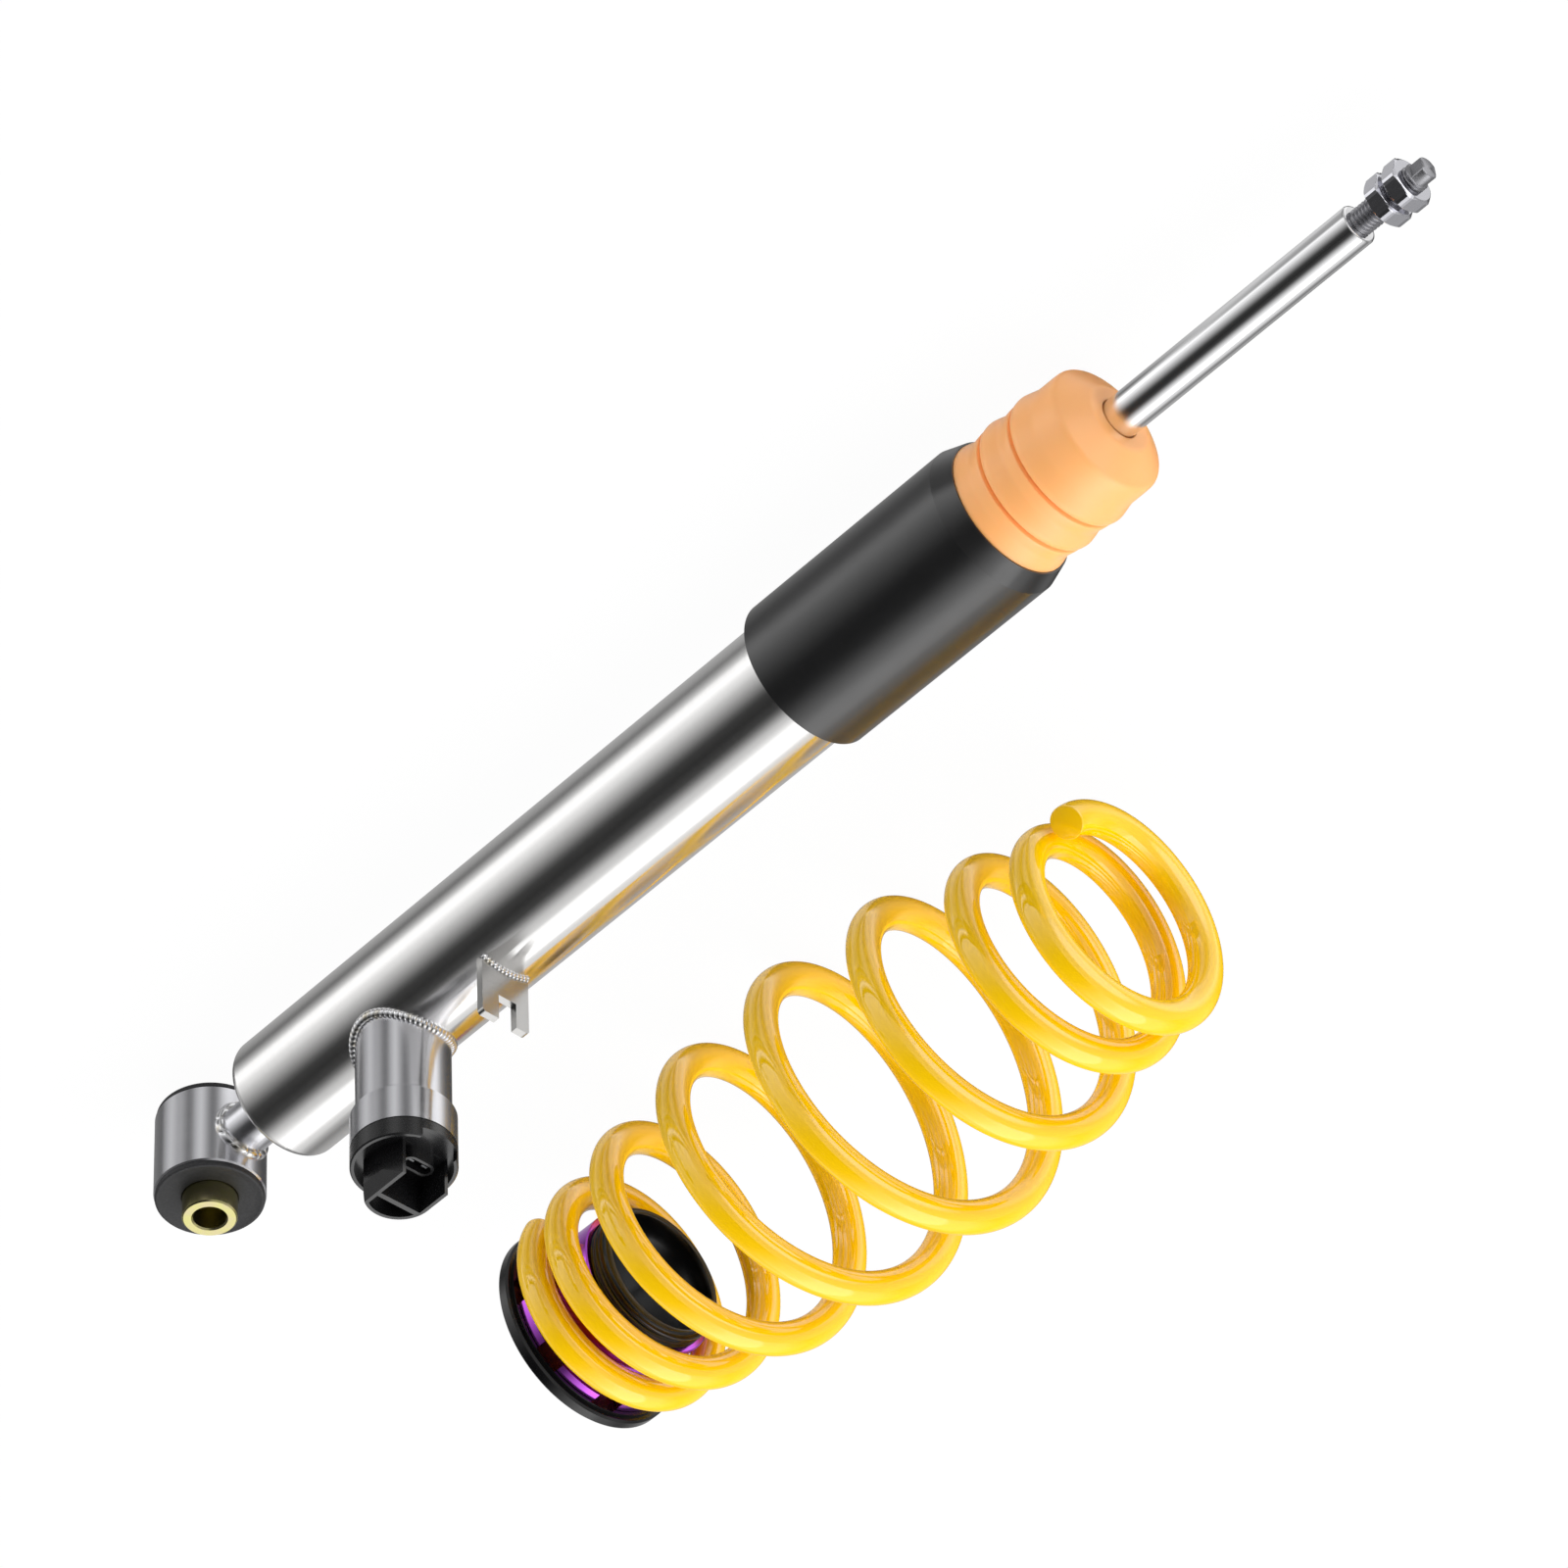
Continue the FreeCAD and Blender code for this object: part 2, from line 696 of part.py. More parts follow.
def make_nut(node, starts, flats, thick, shaft, turn):
    """Hexagon nuts on a shaft, each a prism whose corners a cone takes off at both faces."""
    solids = []
    corner = flats / math.sqrt(3)
    lean = math.tan(math.radians(float(d.nut_crown)))
    for index, start in enumerate(starts):
        at = (start, ZERO, ZERO)
        prism = doc.addObject("Part::Prism", f"{node}_prism{index}")
        prism.Polygon = 6
        prism.setExpression("Circumradius", corner.formula)
        prism.setExpression("Height", thick.formula)
        swing = FreeCAD.Rotation(Vector(1, 0, 0), float(turn) + 30)
        upright = FreeCAD.Rotation(Vector(0, 1, 0), 90)
        prism.Placement = FreeCAD.Placement(Vector(), swing.multiply(upright))
        for letter, length in zip("xyz", at):
            prism.setExpression(f"Placement.Base.{letter}", as_size(length).formula)
        hole = rod_shape(f"{node}_hole{index}", shaft + d.running_fit / 2, thick, at)
        drilled = combine("Cut", f"{node}_drilled{index}", prism, hole)
        halves = []
        for side, base, outward in (("low", start, False), ("high", start + thick / 2, True)):
            cone = doc.addObject("Part::Cone", f"{node}_{side}{index}")
            narrow = flats * 0.48
            wide = narrow + thick / 2 / lean
            cone.setExpression("Radius1", (wide if outward else narrow).formula)
            cone.setExpression("Radius2", (narrow if outward else wide).formula)
            cone.setExpression("Height", (thick / 2).formula)
            place(cone, (base, ZERO, ZERO), (Vector(0, 1, 0), 90))
            halves.append(cone)
        crown = combine("Fuse", f"{node}_crown{index}", halves[0], halves[1])
        solids.append(combine("Common", f"{node}_nut{index}", drilled, crown))
    if len(solids) == 1:
        solids[0].Label = node
        nodes.append(solids[0])
        return
    group = doc.addObject("Part::Compound", node)
    group.Label = node
    group.Links = solids
    nodes.append(group)


# ---------------------------------------------------------------- bump stop and dust sleeve
def make_boot():
    """Foam bump stop with its grooves, and the plastic dust sleeve that hangs on it."""
    bore = d.rod_radius + d.running_fit
    half = d.stop_slit_width / 2
    outline = [(d.stop_start, bore), (d.stop_top - d.stop_mouth_depth, bore),
               (d.stop_top, d.stop_mouth_radius), (d.stop_top, d.stop_face_radius),
               (d.stop_head_end, d.stop_head_radius)]
    for index in (1, 0):
        valley = d.stop_first_valley + d.stop_lobe_pitch * index
        slit = valley + d.stop_slit_shift
        outline += [(valley + d.stop_lobe_pitch, d.stop_head_radius),
                    (slit + d.stop_flank_shift, d.stop_flank_radius),
                    (slit + d.stop_lobe_shift, d.stop_lobe_radius),
                    (slit + half, d.stop_lip_radius),
                    (slit, d.stop_slit_radius),
                    (slit - half, d.stop_lip_radius)]
    outline += [(d.stop_first_valley, d.stop_head_radius),
                (d.sleeve_end, d.sleeve_mouth - d.sleeve_lip),
                (d.sleeve_shoulder, d.stop_neck_radius), (d.stop_start, d.stop_foot_radius)]
    turned("bump_stop", "X", outline)

    inside = d.sleeve_radius - d.sleeve_wall
    turned("dust_sleeve", "X", [
        (d.sleeve_start, inside), (d.sleeve_shoulder, inside),
        (d.sleeve_end, d.sleeve_mouth - d.sleeve_lip), (d.sleeve_end, d.sleeve_mouth),
        (d.sleeve_shoulder, d.sleeve_radius), (d.sleeve_start, d.sleeve_radius),
    ])


# ---------------------------------------------------------------- side valve
def make_valve():
    """Valve housing on the tube, with its seat, its spool and the solenoid that pulls it."""
    at = (d.valve_x, ZERO, ZERO)
    big = d.housing_big_radius
    bevel = d.housing_step + d.housing_bevel
    hole = d.port_radius + d.running_fit
    body = turned("valve_housing", "Z", [
        (hole, ZERO), (d.housing_radius, ZERO), (d.housing_radius, d.housing_step),
        (big, bevel), (big, d.housing_end), (d.housing_bore, d.housing_end),
        (d.housing_bore, d.housing_floor), (hole, d.housing_floor),
    ], at)
    pocket(body, "YZ_Plane", "housing_saddle", lambda s: draw_circle(s, d.tube_radius),
           d.housing_radius * 2 + 2, both=True)
    bead("valve_weld", d.housing_radius, "Z", at, d.tube_radius, "X", d.housing_bead)

    inside = d.housing_bore - d.running_fit
    rim = d.housing_floor + d.seat_rim_height
    flange = d.housing_floor + d.seat_flange
    mouth = d.housing_floor + d.seat_stem
    bore = d.port_radius - d.port_wall
    body = turned("valve_seat", "Z", [
        (bore, ZERO), (d.port_radius, ZERO), (d.port_radius, d.housing_floor),
        (inside, d.housing_floor), (inside, rim), (inside - d.seat_rim, rim),
        (inside - d.seat_rim, flange), (d.seat_stem, flange), (d.seat_stem, mouth), (bore, mouth),
    ], at)
    pocket(body, "YZ_Plane", "seat_saddle", lambda s: draw_circle(s, transfer_radius),
           d.housing_bore * 2, both=True)

    start = mouth + d.body_gap
    stem = start + d.spool_disc_thick
    armature = stem + d.spool_stem_length
    top = armature + d.armature_length
    turned("valve_spool", "Z", [
        (ZERO, start), (d.spool_disc, start), (d.spool_disc, stem), (d.spool_stem, stem),
        (d.spool_stem, armature), (d.armature_radius, armature), (d.armature_radius, top),
        (ZERO, top),
    ], at)
    rise = rim + d.disc_spring_rise
    thick = d.disc_spring_thick
    turned("spool_spring", "Z", [
        (d.disc_spring_hole, rise), (inside, rim), (inside, rim + thick),
        (d.disc_spring_hole, rise + thick),
    ], at)

    coil = rise + thick
    wound = coil + d.coil_length
    around = d.armature_radius + d.coil_clearance
    turned("solenoid_coil", "Z", swap(ring_outline(coil, wound, around, inside)), at)
    groove = inside - d.ring_wire * 2
    middle = (wound + d.housing_end) / 2
    turned("pole_piece", "Z", [
        (ZERO, top + d.spool_stroke + d.body_gap), (around - d.running_fit,
                                                    top + d.spool_stroke + d.body_gap),
        (around - d.running_fit, wound), (inside, wound), (inside, middle - d.ring_wire),
        (groove, middle - d.ring_wire), (groove, middle + d.ring_wire),
        (inside, middle + d.ring_wire), (inside, d.housing_end), (ZERO, d.housing_end),
    ], at)
    ring = doc.addObject("Part::Torus", "housing_o_ring")
    ring.Label = "housing_o_ring"
    ring.setExpression("Radius1", (inside - d.ring_wire).formula)
    ring.setExpression("Radius2", (d.ring_wire - 0.02).formula)
    place(ring, (d.valve_x, ZERO, middle))
    nodes.append(ring)


# ---------------------------------------------------------------- connector
def add_arc(sketch, centre, radius, start, end):
    """An arc from one angle to another, its centre and radius held by the sheet."""
    circle = Part.Circle(Vector(float(centre[0]), float(centre[1]), 0), Vector(0, 0, 1),
                         float(radius))
    arc = sketch.addGeometry(Part.ArcOfCircle(circle, math.radians(start), math.radians(end)))
    pin(sketch, "DistanceX", arc, 3, centre[0])
    pin(sketch, "DistanceY", arc, 3, centre[1])
    held = sketch.addConstraint(Sketcher.Constraint("Radius", arc, float(radius)))
    sketch.setExpression(f"Constraints[{held}]", as_size(radius).formula)
    return arc


def add_line(sketch, start, end):
    """A straight line between two (x, y) places, not yet held."""
    low = Vector(float(start[0]), float(start[1]), 0)
    return sketch.addGeometry(Part.LineSegment(low, Vector(float(end[0]), float(end[1]), 0)))


def join(sketch, piece, point, after, after_point):
    """Let two pieces of a sketch share an end."""
    sketch.addConstraint(Sketcher.Constraint("Coincident", piece, point, after, after_point))


def draw_shroud(sketch):
    """D shape: a round side toward -X, a flat on -Y, an open end toward +X, a bent back on +Y."""
    centre = (-d.shroud_shift, ZERO)
    radius = d.shroud_round
    reach = math.sqrt(float(radius) ** 2 - float(d.shroud_back) ** 2)
    turn = math.degrees(math.atan2(float(d.shroud_back), -reach))
    arc = add_arc(sketch, centre, radius, turn, 270)
    places = [(-d.shroud_shift, -radius), (d.shroud_open, -radius), (d.shroud_open,
              d.shroud_back_low), (d.shroud_back_turn, d.shroud_back),
              (-d.shroud_shift - reach, d.shroud_back)]
    lines = [add_line(sketch, places[index], places[index + 1]) for index in range(4)]
    join(sketch, arc, 2, lines[0], 1)
    for line, after in zip(lines, lines[1:]):
        join(sketch, line, 2, after, 1)
    join(sketch, lines[3], 2, arc, 1)
    pin(sketch, "DistanceX", lines[0], 1, places[0][0])
    for line, corner in zip(lines[1:], places[1:4]):
        pin(sketch, "DistanceX", line, 1, corner[0])
        pin(sketch, "DistanceY", line, 1, corner[1])
    pin(sketch, "DistanceY", arc, 1, d.shroud_back)


def draw_recess(sketch):
    """The closed D between the shroud's round wall and its bar."""
    radius = d.shroud_round - d.shroud_wall
    chord = -(d.shroud_bar + d.shroud_bar_half)
    top = d.shroud_back_low - d.shroud_wall
    away = float(chord) + float(d.shroud_shift)
    low = -math.sqrt(float(radius) ** 2 - away ** 2)
    side = -float(d.shroud_shift) - math.sqrt(float(radius) ** 2 - float(top) ** 2)
    start = math.degrees(math.atan2(float(top), side + float(d.shroud_shift)))
    end = math.degrees(math.atan2(low, away)) + 360
    arc = add_arc(sketch, (-d.shroud_shift, ZERO), radius, start, end)
    bar = add_line(sketch, (chord, low), (chord, top))
    back = add_line(sketch, (chord, top), (side, top))
    join(sketch, arc, 2, bar, 1)
    join(sketch, bar, 2, back, 1)
    join(sketch, back, 2, arc, 1)
    pin(sketch, "DistanceX", bar, 2, chord)
    pin(sketch, "DistanceY", bar, 2, top)
    pin(sketch, "DistanceX", bar, 1, chord)
    pin(sketch, "DistanceY", back, 2, top)


def draw_slot(sketch, middle, length, width):
    """A long hole along the sketch's y, with half-round ends."""
    radius = width / 2
    reach = (length - width) / 2
    across, along = middle
    upper = add_arc(sketch, (across, along + reach), radius, 0, 180)
    lower = add_arc(sketch, (across, along - reach), radius, 180, 360)
    left = add_line(sketch, (across - radius, along + reach), (across - radius, along - reach))
    right = add_line(sketch, (across + radius, along - reach), (across + radius, along + reach))
    join(sketch, upper, 2, left, 1)
    join(sketch, left, 2, lower, 1)
    join(sketch, lower, 2, right, 1)
    join(sketch, right, 2, upper, 1)
    for line, start, end in ((left, reach, -reach), (right, -reach, reach)):
        pin(sketch, "DistanceY", line, 1, along + start)
        pin(sketch, "DistanceY", line, 2, along + end)


def make_connector():
    """Black cap of the valve: a cup with a D-shaped plug shroud, a socket and two blades."""
    at = (d.valve_x, ZERO, d.housing_end)
    radius = d.housing_big_radius
    inside = radius - d.collar_wall
    soft = d.seam_height
    body = turned("connector_cap", "Z", [
        (ZERO, ZERO), (radius - d.seam_depth, ZERO), (radius - d.seam_depth, soft),
        (radius, soft), (radius, d.collar_height - soft), (radius - soft, d.collar_height),
        (inside, d.collar_height), (inside, d.collar_floor), (ZERO, d.collar_floor),
    ], at)
    top = d.shroud_end - d.housing_end
    pad(body, "XY_Plane", "shroud", draw_shroud, top)
    slope = top - d.shroud_slope
    over = d.shroud_back + 1
    pocket(body, "YZ_Plane", "shroud_slope_cut", lambda s: draw_outline(s, [
        (d.shroud_back_low, top), (d.shroud_back, slope), (over, slope), (over, top + 1),
        (d.shroud_back_low, top + 1),
    ]), radius * 2, both=True)
    low = -(d.shroud_round - d.shroud_wall)
    high = d.shroud_back_low - d.shroud_wall
    bar = -(d.shroud_bar - d.shroud_bar_half)
    pocket(body, "XY_Plane", "plug_space", lambda s: draw_outline(s, [
        (bar, low), (radius + 1, low), (radius + 1, high), (bar, high),
    ]), away=True, height=d.collar_floor + soft)
    pocket(body, "XY_Plane", "shroud_recess", draw_recess, away=True, height=top - d.recess_depth)
    middle = (d.socket_out, -d.socket_aside)
    pad(body, "XY_Plane", "socket", lambda s: draw_slot(s, middle, d.socket_length, d.socket_width),
        d.socket_height + soft, height=d.collar_floor)
    wall = d.socket_wall * 2
    pocket(body, "XY_Plane", "socket_hollow", lambda s: draw_slot(
        s, middle, d.socket_length - wall, d.socket_width - wall),
        away=True, height=d.collar_floor + soft)

    base = d.housing_end + d.collar_floor + soft
    pair = doc.addObject("Part::Compound", "connector_blades")
    pair.Label = "connector_blades"
    pair.Links = [
        block(f"blade_{name}", (d.blade_thick, d.blade_width, d.blade_height),
              (d.valve_x + d.socket_out - d.blade_thick / 2,
               d.blade_pitch * side - d.socket_aside - d.blade_width / 2, base))
        for name, side in (("near", -0.5), ("far", 0.5))
    ]
    nodes.append(pair)


# ---------------------------------------------------------------- cable bracket
def make_bracket():
    """Forked plate on the tube that holds the valve's cable clip, and its weld."""
    right = d.bracket_half_width - d.bracket_shift
    left = -(d.bracket_half_width + d.bracket_shift)
    slot_right = d.slot_width / 2 - d.slot_shift
    slot_left = -(d.slot_width / 2 + d.slot_shift)
    floor = d.bracket_tip - d.slot_depth
    body = new_body("cable_bracket", (d.bracket_face - d.bracket_thick, ZERO, ZERO))
    pad(body, "YZ_Plane", "fork", lambda s: draw_outline(s, [
        (left, ZERO), (right, ZERO), (right, d.bracket_tip), (slot_right, d.bracket_tip),
        (slot_right, floor), (slot_left, floor), (slot_left, d.bracket_tip),
        (left, d.bracket_tip),
    ]), d.bracket_thick)
    corners = line_along_x([(left, d.bracket_tip), (right, d.bracket_tip)])
    round_edges(body, d.bracket_corner, corners, "fork_corners")
    pocket(body, "YZ_Plane", "fork_saddle", lambda s: draw_circle(s, d.tube_radius),
           d.bracket_thick, away=True)
    strip = block("bracket_weld_strip", (d.bracket_bead, d.bracket_half_width * 2, d.tube_radius * 2),
                  (d.bracket_face, left, ZERO))
    around = rod_shape("bracket_weld_around", d.tube_radius + d.bracket_bead, d.bracket_bead,
                       (d.bracket_face, ZERO, ZERO))
    carrier = rod_shape("bracket_weld_carrier", d.tube_radius, d.bracket_bead,
                        (d.bracket_face, ZERO, ZERO))
    skin = combine("Cut", "bracket_weld_skin", around, carrier)
    combine("Common", "bracket_weld", strip, skin, is_node=True)


# ---------------------------------------------------------------- spring and its perch
def make_perch():
    """Perch: base ring, threaded pot and the castellated ring that carries the spring."""
    at = (ZERO, perch_y, perch_z)
    rim_top = d.base_start + d.base_thick
    base_top = rim_top + d.step_thick
    corner = d.base_corner
    turned("perch_base", "X", [
        (d.base_start, pot_bore), (base_top, pot_bore), (base_top, step_radius),
        (rim_top, step_radius), (rim_top, base_radius - corner), (rim_top - corner, base_radius),
        (d.base_start + corner, base_radius), (d.base_start, base_radius - corner),
    ], at)
    turned("threaded_pot", "X", [
        (base_top, pot_bore), (d.pot_end, pot_bore), (d.pot_end, d.pot_radius - d.pot_chamfer),
        (d.pot_end - d.pot_chamfer, d.pot_radius), (base_top, d.pot_radius),
    ], at)

    bore = d.pot_radius + d.running_fit
    start = base_top + d.body_gap
    crown = d.coil_start - d.wire_radius - d.running_fit
    rim = d.neck_ring_chamfer
    body = turned("adjuster_ring", "X", [
        (start, bore), (d.neck_ring_end, bore), (d.neck_ring_end, neck_ring_radius - rim),
        (d.neck_ring_end - rim, neck_ring_radius), (crown, neck_ring_radius),
        (crown, crown_radius), (start, crown_radius),
    ], at)
    half = d.crown_slot_width / 2
    slot = pocket(body, "YZ_Plane", "crown_slot", lambda s: draw_outline(s, [
        (crown_inside, -half), (base_radius, -half), (base_radius, half),
        (crown_inside, half),
    ]), crown - start, away=True, height=start)
    repeat_round(body, slot, "X_Axis", d.crown_slots, "crown_slots")
    turn = FreeCAD.Rotation(Vector(1, 0, 0), float(d.crown_turn))
    body.Placement = FreeCAD.Placement(Vector(0, float(perch_y), float(perch_z)), turn)


def coil_rise(turns):
    """Pitch at a turn: close at both ends, wide over the belly."""
    start, end = RISE_SPAN
    share = min(max((turns - start) / (end - start), 0.0), 1.0)
    return float(d.end_rise) + float(d.belly_rise) * math.sin(math.pi * share) ** RISE_POWER


def coil_radius(turns):
    """Radius of the wire's centre line at a turn: a barrel, fullest past its middle."""
    start, end = BELLY_SPAN
    share = min(max((turns - start) / (end - start), 0.0), 1.0) ** BELLY_SKEW
    swell = max(math.sin(math.pi * share), 0.0) ** BELLY_POWER
    return float(coil_end_radius) + float(d.coil_belly) * swell


def coil_height(turns, steps=160):
    """Distance climbed along X up to a turn, the sum of the pitch over small steps."""
    width = turns / steps
    return sum(coil_rise((index + 0.5) * width) for index in range(steps)) * width


def coil_point(turns):
    """Place of the wire's centre line at a turn, seen from the perch's axis."""
    angle = math.radians(360 * turns + COIL_PHASE)
    radius = coil_radius(turns)
    along = float(d.coil_start) + coil_height(turns)
    return Vector(along, radius * math.cos(angle), radius * math.sin(angle))


def coil_tangent(turns, step=1e-4):
    """Direction of the wire at a turn."""
    return (coil_point(turns + step) - coil_point(turns - step)).normalize()


def biarc(start, start_way, end, end_way):
    """Two arcs that leave one point along its direction and reach the next along its own."""
    chord = end - start
    ways = start_way + end_way
    a = 2 * (1 - start_way.dot(end_way))
    b = 2 * chord.dot(ways)
    c = -chord.dot(chord)
    reach = (-b + math.sqrt(b * b - 4 * a * c)) / (2 * a) if a > 1e-9 else -c / b
    middle = (start + start_way * reach + end - end_way * reach) * 0.5
    arcs = []
    for low, way, high, sign in ((start, start_way, middle, 1), (middle, end_way, end, -1)):
        line = high - low
        across = way.dot(line)
        anchor = low if sign > 0 else high
        normal = (line - way * across).normalize() * sign
        radius = line.dot(line) / (2 * abs(line.dot(normal)))
        centre = anchor + normal * radius
        half = ((low - centre) + (high - centre)).normalize() * radius
        arcs.append(Part.Arc(low, centre + half, high).toShape())
    return arcs


def make_spring():
    """Barrel spring: one unbroken round wire swept along arcs of an eighth of a turn."""
    count = round((COIL_TO - COIL_FROM) * 4)
    stations = [COIL_FROM + (COIL_TO - COIL_FROM) * index / count for index in range(count + 1)]
    edges = []
    for low, high in zip(stations, stations[1:]):
        edges += biarc(coil_point(low), coil_tangent(low), coil_point(high), coil_tangent(high))
    path = Part.Wire(edges)
    first, way = coil_point(stations[0]), coil_tangent(stations[0])
    section = Part.Wire([Part.Circle(first, way, float(d.wire_radius)).toShape()])
    spring = doc.addObject("Part::Feature", "coil_spring")
    spring.Label = "coil_spring"
    spring.Shape = path.makePipeShell([section], True, False)
    spring.Placement = FreeCAD.Placement(Vector(0, float(perch_y), float(perch_z)),
                                         FreeCAD.Rotation())
    nodes.append(spring)

    places = [coil_point(COIL_FROM + (COIL_TO - COIL_FROM) * index / 400) for index in range(401)]
    apart = round(400 * 0.6 / (COIL_TO - COIL_FROM))
    least = min(places[low].distanceToPoint(places[high])
                for low in range(401) for high in range(low + apart, 401))
    print(f"coil spring: least gap between turns {least - 2 * float(d.wire_radius):.2f} mm")


# ---------------------------------------------------------------- build, check, write
def main():
    make_eye()
    make_tube()
    make_inner_tubes()
    make_base_valve()
    make_rod_guide()
    make_rod()
    make_piston()
    make_nut("stud_nuts", [nut_first, nut_first + d.nut_pitch], d.nut_flats, d.nut_thick,
             d.stud_radius, d.nut_turn)
    make_boot()
    make_valve()
    make_connector()
    make_bracket()
    make_perch()
    make_spring()
    doc.recompute()

    for item in doc.Objects:
        if "Invalid" in item.State or "Error" in item.State:
            raise ValueError(f"{item.Name} did not rebuild")
    for item in nodes:
        if item.Shape.isNull() or not item.Shape.isValid() or not item.Shape.Solids:
            raise ValueError(f"{item.Label} has no sound shape")
    os.makedirs("parts", exist_ok=True)
    for item in nodes:
        item.Shape.exportStep(f"parts/{item.Label}.step")
    print(f"{len(nodes)} sub-parts written")


main()
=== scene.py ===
# %% [markdown]
# # A rear damper and its barrel spring, dressed for the studio
# The part is two groups that are sold together: a twin-tube damper with an electronic valve on its
# side, and a yellow barrel spring standing on its height adjuster. The solids come from the CAD
# model and keep their places. This file gives every surface its finish and replaces the few solids
# whose real surface is finer than a plain solid: the spring wire, the foam stop, the rod with its
# stud and nuts, the threaded pot, the rubber bush and the weld beads.

import json

import bpy
import numpy as np
from mathutils import Matrix, Vector

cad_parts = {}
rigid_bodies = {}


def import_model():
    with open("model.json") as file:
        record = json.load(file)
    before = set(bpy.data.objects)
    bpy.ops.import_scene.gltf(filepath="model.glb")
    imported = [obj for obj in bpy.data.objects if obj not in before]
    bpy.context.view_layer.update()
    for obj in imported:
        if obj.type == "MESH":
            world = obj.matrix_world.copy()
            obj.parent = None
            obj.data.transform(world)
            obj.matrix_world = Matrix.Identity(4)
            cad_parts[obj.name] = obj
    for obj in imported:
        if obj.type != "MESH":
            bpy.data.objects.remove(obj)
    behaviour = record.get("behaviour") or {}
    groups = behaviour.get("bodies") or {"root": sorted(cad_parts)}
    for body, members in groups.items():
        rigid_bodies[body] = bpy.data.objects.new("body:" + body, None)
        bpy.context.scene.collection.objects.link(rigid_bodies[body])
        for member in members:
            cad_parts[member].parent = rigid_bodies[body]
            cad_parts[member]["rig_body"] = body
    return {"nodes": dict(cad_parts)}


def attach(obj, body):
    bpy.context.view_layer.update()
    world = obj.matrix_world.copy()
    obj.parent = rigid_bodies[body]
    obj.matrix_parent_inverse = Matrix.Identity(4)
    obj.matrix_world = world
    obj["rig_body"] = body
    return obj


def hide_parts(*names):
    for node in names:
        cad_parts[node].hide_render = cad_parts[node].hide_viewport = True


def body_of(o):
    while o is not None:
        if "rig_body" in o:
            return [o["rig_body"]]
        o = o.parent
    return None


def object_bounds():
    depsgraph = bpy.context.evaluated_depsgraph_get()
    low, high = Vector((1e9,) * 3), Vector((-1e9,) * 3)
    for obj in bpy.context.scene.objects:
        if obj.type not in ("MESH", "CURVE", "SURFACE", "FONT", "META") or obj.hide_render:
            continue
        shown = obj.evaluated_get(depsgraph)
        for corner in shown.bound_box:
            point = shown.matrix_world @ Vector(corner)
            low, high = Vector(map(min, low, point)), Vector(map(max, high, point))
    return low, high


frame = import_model()
nodes = frame["nodes"]
cad_box = [list(corner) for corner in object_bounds()]
MM = 0.001
print("CAD box in mm:", [[round(value / MM, 1) for value in corner] for corner in cad_box])

# %% [markdown]
# ## Helpers
# Colours are written as the hex codes a paint shop would use, and one function turns them to the
# linear light a shader needs. One more function adds a shader node with its settings and links.


# %% Colour and node helpers
def linear(code):
    """An sRGB hex code as linear light with alpha 1.

    Each channel c is c / 12.92 up to 0.04045 and ((c + 0.055) / 1.055) ^ 2.4 above it.
    """
    channels = np.array([int(code[start:start + 2], 16) / 255 for start in (1, 3, 5)])
    light = np.where(channels <= 0.04045, channels / 12.92, ((channels + 0.055) / 1.055) ** 2.4)
    return (*light.tolist(), 1.0)


def add(tree, kind, sockets=None, **settings):
    """Add one node of a kind with its settings, and fill or link the named sockets."""
    node = tree.nodes.new("ShaderNode" + kind)
    for name, value in settings.items():
        setattr(node, name, value)
    for name, value in (sockets or {}).items():
        if isinstance(value, bpy.types.NodeSocket):
            tree.links.new(value, node.inputs[name])
        else:
            node.inputs[name].default_value = value
    return node


def start_material(name, colour, **sockets):
    """A material with one Principled shader; returns it, its tree and the shader."""
    material = bpy.data.materials.new(name)
    material.use_nodes = True
    tree = material.node_tree
    shader = tree.nodes["Principled BSDF"]
    shader.inputs["Base Color"].default_value = linear(colour)
    for socket, value in sockets.items():
        shader.inputs[socket.replace("_", " ")].default_value = value
    material.diffuse_color = linear(colour)
    return material, tree, shader


def grain(tree, size, stretch=(1, 1, 1), detail=2.0):
    """Noise whose spots are size mm wide, stretched along an axis by its number in stretch."""
    place = add(tree, "TexCoord").outputs["Object"]
    scale = [1 / (MM * size * along) for along in stretch]
    placed = add(tree, "Mapping", {"Vector": place, "Scale": scale})
    noise = add(tree, "TexNoise", {"Vector": placed.outputs["Vector"], "Scale": 1.0,
                                   "Detail": detail, "Roughness": 0.6})
    return noise.outputs["Fac"]


def spread(tree, source, low, high, start=0.3, end=0.7):
    """A number that runs from low to high while source runs from start to end."""
    ranged = add(tree, "MapRange", {"Value": source, "From Min": start, "From Max": end,
                                    "To Min": low, "To Max": high})
    return ranged.outputs["Result"]


def tint(tree, source, first, second, start=0.35, end=0.65):
    """A colour that runs from the first hex to the second while source runs from start to end."""
    ramp = add(tree, "ValToRGB", {"Fac": source})
    ramp.color_ramp.elements[0].position = start
    ramp.color_ramp.elements[0].color = linear(first)
    ramp.color_ramp.elements[1].position = end
    ramp.color_ramp.elements[1].color = linear(second)
    return ramp.outputs["Color"]


def relief(tree, shader, source, depth, strength=1.0):
    """Bump of a depth in mm under the shader's normal."""
    bump = add(tree, "Bump", {"Height": source, "Distance": depth * MM, "Strength": strength})
    tree.links.new(bump.outputs["Normal"], shader.inputs["Normal"])


def roughen(tree, shader, source, low, high, start=0.3, end=0.7):
    """Let the shader's roughness run from low to high while source runs from start to end."""
    tree.links.new(spread(tree, source, low, high, start, end), shader.inputs["Roughness"])


